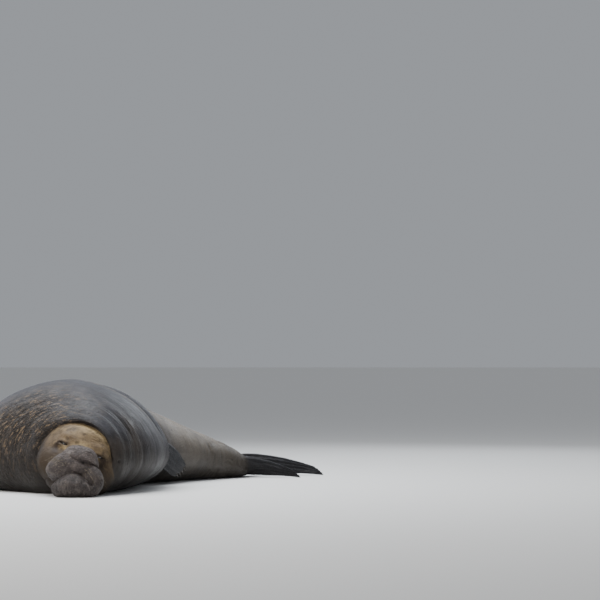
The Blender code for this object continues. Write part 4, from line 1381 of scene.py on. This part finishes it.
def spotsGroup():  # sparse round marks
    inputs = {"Vector": origin, "Scale": 6.0, "Size": 0.09, "Few": 0.6}
    group, given, result = newGroup("spots", inputs, ["Mask"])
    links = {"Vector": given["Vector"], "Scale": given["Scale"]}
    cells = addNode(group, "ShaderNodeTexVoronoi", links).outputs
    full = mathNode(group, "MULTIPLY", given["Size"], dotEdge)
    dot = mapped(group, cells["Distance"], given["Size"], full)
    chance = addNode(group, "ShaderNodeSeparateColor", {0: cells["Color"]}).outputs[0]
    some = mathNode(group, "GREATER_THAN", chance, given["Few"])
    group.links.new(mathNode(group, "MULTIPLY", dot, some, True), result["Mask"])
    return group


def pebbleGroup():  # cornified skin: small raised cells with grooves between
    group, given, result = newGroup("pebbledSkin", {"Vector": origin, "Scale": 60.0}, ["Height", "Groove"])
    warp = noiseNode(group, given["Vector"], pebbles["warpScale"], pebbles["warpDetail"])[1]
    bent = vectorNode(group, "SCALE", {0: warp, "Scale": pebbles["warp"]})
    place = vectorNode(group, "ADD", {0: given["Vector"], 1: bent})
    cells = addNode(group, "ShaderNodeTexVoronoi", {"Vector": place, "Scale": given["Scale"]},
                    feature="DISTANCE_TO_EDGE").outputs[0]
    raised = mapped(group, cells, end=pebbles["grooveWidth"], smooth=True)
    group.links.new(raised, result["Height"])
    group.links.new(mathNode(group, "SUBTRACT", 1.0, raised), result["Groove"])
    return group


groups = {"blotches": blotchesGroup(), "fur": furGroup(), "streaks": streaksGroup(), "spots": spotsGroup(),
          "pebble": pebbleGroup()}


def useGroup(tree, name, links):
    return addNode(tree, "ShaderNodeGroup", links, node_tree=groups[name]).outputs


def mixColour(tree, factor, a, b, blend="MIX"):
    a, b = (colour if isinstance(colour, bpy.types.NodeSocket) else (*colour, 1) for colour in (a, b))
    links = {0: factor, 6: a, 7: b}
    return addNode(tree, "ShaderNodeMix", links, data_type="RGBA", blend_type=blend).outputs[2]


def newMaterial(name, **constants):
    material = bpy.data.materials.new(name)
    material.use_nodes = True
    shader = material.node_tree.nodes["Principled BSDF"]
    for socket, value in constants.items():
        shader.inputs[socket.replace("_", " ")].default_value = value
    return material, material.node_tree, shader


# hide: one material for skin and coat, so that both carry the same markings and the same painted light and shade

hide = {
    "back": (0.046, 0.047, 0.056), "backPale": (0.078, 0.078, 0.090), "backDark": (0.020, 0.020, 0.023),
    "shield": (0.062, 0.050, 0.043), "shieldDark": (0.017, 0.013, 0.011), "shieldTan": (0.250, 0.170, 0.100),
    "rear": (0.300, 0.255, 0.205), "rearDark": (0.160, 0.135, 0.110),
    "face": (0.190, 0.130, 0.074), "facePale": (0.500, 0.365, 0.190), "faceDark": (0.070, 0.048, 0.030),
    "nose": (0.105, 0.083, 0.077), "nosePale": (0.205, 0.168, 0.150), "noseDark": (0.024, 0.018, 0.017),
    "noseSpeckleHighlight": (0.400, 0.330, 0.270),
    "flipper": (0.022, 0.021, 0.025), "flipperSheen": (0.150, 0.147, 0.155),
    # stains with painted shade over the lids, pale rims of wear and painted highlight, and painted shade in
    # creases
    "stain": (0.040, 0.024, 0.014), "rim": (0.300, 0.235, 0.160), "crease": (0.012, 0.010, 0.009),
    "scar": (0.300, 0.270, 0.250), "spot": (0.018, 0.014, 0.013), "pit": (0.014, 0.011, 0.010),
    # painted shade: the coat browner and darker towards the floor; groundShade darkens the whole hide near the
    # floor
    "under": (0.034, 0.026, 0.020), "underShadeTop": 0.66, "underShadeShare": 0.76,
    "groundShade": 0.40, "groundShadeTop": 0.40,
}


hidePatches = {  # soft patches: scale, and the noise where they start and are full
    "backPale": (1.7, 0.42, 0.66), "shieldDark": (8.0, 0.42, 0.62), "shieldEdge": (2.4, 0.36, 0.60),
    "crustEdge": (3.6, 0.24, 0.48), "rearDark": (4.0, 0.42, 0.68), "facePale": (14.0, 0.46, 0.66),
    "faceDark": (22.0, 0.50, 0.66), "nosePale": (20.0, 0.46, 0.68), "noseDark": (46.0, 0.52, 0.66),
    "stainEdge": (20.0, 0.26, 0.48), "rimEdge": (30.0, 0.42, 0.56), "gloss": (7.0, 0.3, 0.7),
}
hideStreaks = {  # so many to the metre along and around, where they start and are full, and their turn
    "backPale": (26.0, 7.0, 0.52, 0.68, 0.0), "backDark": (18.0, 6.0, 0.50, 0.66, 0.05),
    "crustTan": (75.0, 13.0, 0.54, 0.62, 0.12), "crustDark": (50.0, 8.0, 0.52, 0.60, -0.10),
    "rearDark": (20.0, 4.0, 0.50, 0.68, 0.0), "flipperSheen": (5.0, 45.0, 0.50, 0.68, 0.0),
    "longScars": (9.0, 62.0, 0.735, 0.76, 0.5), "crossScars": (60.0, 10.0, 0.735, 0.76, 0.35),
    "wrinkles": (85.0, 9.0, 0.35, 0.65, 0.0),
}
hideSpots = {"highlightSpeckle": (85.0, 0.30, 0.50), "dark": (7.0, 0.085, 0.62)}  # scale, size, and the share left out
hideShares = {
    "backPale": 0.10, "backDark": 0.28, "groove": 0.85, "rearDark": 0.6, "facePale": 0.30, "faceDark": 0.7,
    "noseDark": 0.7, "highlightSpeckle": 0.7, "flipperSheen": 0.55, "bendWearAndHighlight": 0.12, "dark": 0.85, "noseCells": 0.45,
}
hideFur = {"length": 70.0, "width": 420.0, "noise": (0.3, 0.7), "streak": (0.80, 1.16), "clump": (0.84, 1.14)}
hideCells = {"crust": 42.0, "bare": 190.0}
hideGloss = {"hairy": 0.47, "bare": 0.36, "dry": 0.20, "patchy": (-0.07, 0.12)}
hideBumps = {  # strength and distance
    "fur": (0.5, 0.0012), "clump": (0.5, 0.003), "cells": (0.8, 0.005), "wrinkles": (0.25, 0.002),
    "bare": (0.8, 0.0018),
}


def hideMaterial():
    material, tree, shader = newMaterial("hide", Specular_IOR_Level=0.26, Sheen_Weight=0.02,
                                         Sheen_Roughness=0.45)
    place = tree.nodes.new("ShaderNodeTexCoord").outputs["Object"]
    lieAt = addNode(tree, "ShaderNodeAttribute", attribute_name="lie").outputs["Vector"]
    on = {
        name: addNode(tree, "ShaderNodeAttribute", attribute_name=name).outputs["Fac"]
        for name in [*maskNames, "bend"]
    }
    share = hideShares

    def blotches(name):
        scale, low, high = hidePatches[name]
        return useGroup(tree, "blotches", {"Vector": place, "Scale": scale, "Low": low, "High": high})["Mask"]

    def streaks(name):
        along, around, low, high, turn = hideStreaks[name]
        links = {"Lie": lieAt, "Along": along, "Around": around, "Turn": turn, "Low": low, "High": high}
        return useGroup(tree, "streaks", links)["Mask"]

    def dots(name):
        scale, size, few = hideSpots[name]
        return useGroup(tree, "spots", {"Vector": place, "Scale": scale, "Size": size, "Few": few})["Mask"]

    def times(a, b):
        return mathNode(tree, "MULTIPLY", a, b, True)

    def layer(factor, under, over):
        return mixColour(tree, factor, under, over)

    fur = useGroup(tree, "fur", {"Lie": lieAt, "Length": hideFur["length"], "Width": hideFur["width"]})
    pebble = useGroup(tree, "pebble", {"Vector": place, "Scale": hideCells["crust"]})
    colour = layer(blotches("backPale"), hide["back"], hide["backPale"])
    colour = layer(times(streaks("backPale"), share["backPale"]), colour, hide["backPale"])
    colour = layer(times(streaks("backDark"), share["backDark"]), colour, hide["backDark"])
    shield = layer(blotches("shieldDark"), hide["shield"], hide["shieldDark"])
    colour = layer(times(on["shield"], blotches("shieldEdge")), colour, shield)
    crust = layer(times(pebble["Groove"], share["groove"]), shield, hide["shieldDark"])
    crust = layer(streaks("crustTan"), crust, hide["shieldTan"])
    crust = layer(streaks("crustDark"), crust, hide["shieldDark"])
    colour = layer(times(on["crust"], blotches("crustEdge")), colour, crust)
    rear = layer(blotches("rearDark"), hide["rear"], hide["rearDark"])
    rear = layer(times(streaks("rearDark"), share["rearDark"]), rear, hide["rearDark"])
    colour = layer(on["aft"], colour, rear)
    face = layer(times(blotches("facePale"), share["facePale"]), hide["face"], hide["facePale"])
    # painted highlights on the bridge, crown and hood's rim, and the pale lower lids
    face = layer(on["glow"], face, hide["facePale"])
    face = layer(times(blotches("faceDark"), share["faceDark"]), face, hide["faceDark"])
    # painted shade: the face darker towards the bottom and on its right
    face = layer(on["dusk"], face, hide["faceDark"])
    colour = layer(on["face"], colour, face)
    nose = layer(blotches("nosePale"), hide["nose"], hide["nosePale"])
    nose = layer(times(blotches("noseDark"), share["noseDark"]), nose, hide["noseDark"])
    # painted highlights: pale speckles on the proboscis
    nose = layer(times(dots("highlightSpeckle"), share["highlightSpeckle"]), nose, hide["noseSpeckleHighlight"])
    colour = layer(on["nose"], colour, nose)
    sheen = times(streaks("flipperSheen"), share["flipperSheen"])
    flipper = layer(sheen, hide["flipper"], hide["flipperSheen"])
    colour = layer(on["flipper"], colour, flipper)
    # tear stains, and painted shade under the brow's fold on the upper lids
    colour = layer(times(on["stain"], blotches("stainEdge")), colour, hide["stain"])
    # pale rims along the folds' edges: partly wear, partly painted highlight
    colour = layer(times(on["rim"], blotches("rimEdge")), colour, hide["rim"])
    hairy = mathNode(tree, "SUBTRACT", 1.0, mathNode(tree, "MAXIMUM", on["nose"], on["flipper"]), True)
    up = addNode(tree, "ShaderNodeSeparateXYZ", {0: place}).outputs[2]
    # painted shade: the coat browner and darker towards the floor, away from the face
    under = mapped(tree, up, end=hide["underShadeTop"], low=hide["underShadeShare"], high=0.0, smooth=True)
    offFace = mathNode(tree, "SUBTRACT", hairy, on["face"], True)
    colour = layer(times(under, offFace), colour, hide["under"])
    # convex edges paler: partly wear, partly painted highlight
    colour = layer(times(times(on["bend"], share["bendWearAndHighlight"]), hairy), colour, hide["rim"])
    # painted shade: creases darker, from the bend mask
    colour = layer(times(on["bend"], -1.0), colour, hide["crease"])
    # painted shade: the eye slits and whisker pits dark
    colour = layer(on["follicle"], colour, hide["pit"])
    scars = mathNode(tree, "MAXIMUM", streaks("longScars"), streaks("crossScars"))
    colour = layer(times(scars, hairy), colour, hide["scar"])
    colour = layer(times(dots("dark"), share["dark"]), colour, hide["spot"])

    streaked = mapped(tree, fur["Streak"], *hideFur["noise"], *hideFur["streak"])
    clumped = mapped(tree, fur["Clump"], *hideFur["noise"], *hideFur["clump"])
    low = mapped(tree, up, end=hide["groundShadeTop"], low=hide["groundShade"], smooth=True)
    shade = mathNode(tree, "MULTIPLY", streaked, clumped)
    shade = mathNode(tree, "SUBTRACT", shade, 1.0)
    shade = mathNode(tree, "MULTIPLY", shade, hairy)  # bare skin has no streaks
    shade = mathNode(tree, "ADD", shade, 1.0)
    shade = mathNode(tree, "MULTIPLY", shade, low)
    grey = addNode(tree, "ShaderNodeCombineColor", {0: shade, 1: shade, 2: shade}).outputs[0]
    tree.links.new(mixColour(tree, 1.0, colour, grey, "MULTIPLY"), shader.inputs["Base Color"])

    bare = mathNode(tree, "SUBTRACT", 1.0, hairy, True)
    rough = mapped(tree, bare, low=hideGloss["hairy"], high=hideGloss["bare"])
    dry = mathNode(tree, "MAXIMUM", on["face"], on["crust"])
    rough = mathNode(tree, "ADD", rough, mathNode(tree, "MULTIPLY", times(dry, hairy), hideGloss["dry"]))
    patchy = mapped(tree, blotches("gloss"), 0.0, 1.0, *hideGloss["patchy"])
    tree.links.new(mathNode(tree, "ADD", rough, patchy, True), shader.inputs["Roughness"])

    normal = bump(tree, *hideBumps["fur"], times(fur["Streak"], hairy))
    normal = bump(tree, *hideBumps["clump"], fur["Clump"], normal)
    cornified = mathNode(tree, "MAXIMUM", on["crust"], times(on["nose"], share["noseCells"]))
    normal = bump(tree, *hideBumps["cells"], times(pebble["Height"], cornified), normal)
    normal = bump(tree, *hideBumps["wrinkles"], times(streaks("wrinkles"), hairy), normal)
    fine = useGroup(tree, "pebble", {"Vector": place, "Scale": hideCells["bare"]})
    normal = bump(tree, *hideBumps["bare"], times(fine["Height"], bare), normal)
    tree.links.new(normal, shader.inputs["Normal"])
    return material


def eyeMaterial():
    material, tree, shader = newMaterial("wetEye", Roughness=0.06, Specular_IOR_Level=0.5, Coat_Weight=1.0,
                                         Coat_Roughness=0.03)
    place = tree.nodes.new("ShaderNodeTexCoord").outputs["Object"]
    scale, low, high = eye["veins"]
    veins = useGroup(tree, "blotches", {"Vector": place, "Scale": scale, "Low": low, "High": high})["Mask"]
    tree.links.new(mixColour(tree, veins, eye["dark"], eye["brown"]), shader.inputs["Base Color"])
    return material


horns = {
    "whiskerHorn": {"dark": (0.120, 0.090, 0.055), "pale": (0.360, 0.290, 0.190), "roughness": 0.4},
    "clawHorn": {"dark": (0.018, 0.015, 0.013), "pale": (0.075, 0.060, 0.048), "roughness": 0.35},
}
hornBands = {"scale": 90.0, "low": 0.40, "high": 0.64, "duller": 0.15, "bump": (0.4, 0.0006)}


def hornMaterial(name):
    material, tree, shader = newMaterial(name)
    horn, b = horns[name], hornBands
    place = tree.nodes.new("ShaderNodeTexCoord").outputs["Object"]
    links = {"Vector": place, "Scale": b["scale"], "Low": b["low"], "High": b["high"]}
    bands = useGroup(tree, "blotches", links)["Mask"]
    tree.links.new(mixColour(tree, bands, horn["dark"], horn["pale"]), shader.inputs["Base Color"])
    rough = mapped(tree, bands, low=horn["roughness"], high=horn["roughness"] + b["duller"])
    tree.links.new(rough, shader.inputs["Roughness"])
    tree.links.new(bump(tree, *b["bump"], bands), shader.inputs["Normal"])
    return material


hideFinish = hideMaterial()
skinMesh.materials.clear()
skinMesh.materials.append(hideFinish)
wetEye = eyeMaterial()
for piece in (eyeLeft, eyeRight):
    piece.data.materials.append(wetEye)
whiskerPiece.data.materials.append(hornMaterial("whiskerHorn"))
clawHorn = hornMaterial("clawHorn")
for piece in clawPieces:
    piece.data.materials.append(clawHorn)

print("growing the coat")
for name in coats:
    makeCoat(name, coatRegion(name, points, label, masks), hideFinish)


# floor, light and camera

studio = {
    "floor": (0.86, 0.85, 0.83), "floorRadius": 300, "floorSides": 96,
    "sky": (0.80, 0.84, 0.90), "skyStrength": 0.42,
    # name: place, aimed at, size, watts, colour
    "lamps": {
        "overhead": ((-1.6, 0.4, 6.0), (-0.4, 0.0, 0.3), 6.0, 700, (0.92, 0.96, 1.0)),
        "front": ((-5.5, -8.0, 6.0), (-0.3, -1.0, 0.3), 3.5, 420, (1.0, 0.95, 0.88)),
        "behind": ((3.0, 7.0, 4.5), (-0.2, 0.5, 0.5), 4.0, 120, (0.88, 0.94, 1.0)),
    },
}
camera = {"place": (0.0, -17.0, 0.958), "pitch": 1.404, "lens": 146.9, "sensor": 36, "sees": 400}


def makeStage():
    bm = bmesh.new()
    bmesh.ops.create_circle(bm, cap_ends=True, segments=studio["floorSides"], radius=studio["floorRadius"])
    mesh = bpy.data.meshes.new("floor")
    bm.to_mesh(mesh)
    bm.free()
    floor = bpy.data.objects.new("floor", mesh)
    bpy.context.scene.collection.objects.link(floor)
    material, tree, shader = newMaterial("plainFloor", Roughness=0.9)
    shader.inputs["Base Color"].default_value = (*studio["floor"], 1)
    mesh.materials.append(material)
    world = bpy.data.worlds.new("softSky")
    bpy.context.scene.world = world
    world.use_nodes = True
    background = world.node_tree.nodes["Background"]
    background.inputs[0].default_value = (*studio["sky"], 1)
    background.inputs[1].default_value = studio["skyStrength"]
    for name, (place, aim, size, watts, colour) in studio["lamps"].items():
        lamp = bpy.data.lights.new(name, "AREA")
        lamp.shape, lamp.size, lamp.energy, lamp.color = "DISK", size, watts, colour
        holder = bpy.data.objects.new(name, lamp)
        holder.location = place
        holder.rotation_euler = (Vector(aim) - Vector(place)).to_track_quat("-Z", "Y").to_euler()
        bpy.context.scene.collection.objects.link(holder)


def makeCamera():
    lens = bpy.data.cameras.new("camera")
    lens.lens, lens.sensor_width = camera["lens"], camera["sensor"]
    lens.clip_end = camera["sees"]
    holder = bpy.data.objects.new("camera", lens)
    holder.location = np.array(camera["place"]) - planCentre
    holder.rotation_euler = (math.radians(90 + camera["pitch"]), 0, 0)
    bpy.context.scene.collection.objects.link(holder)
    bpy.context.scene.camera = holder


makeStage()
makeCamera()
print("stage, lights and camera set")
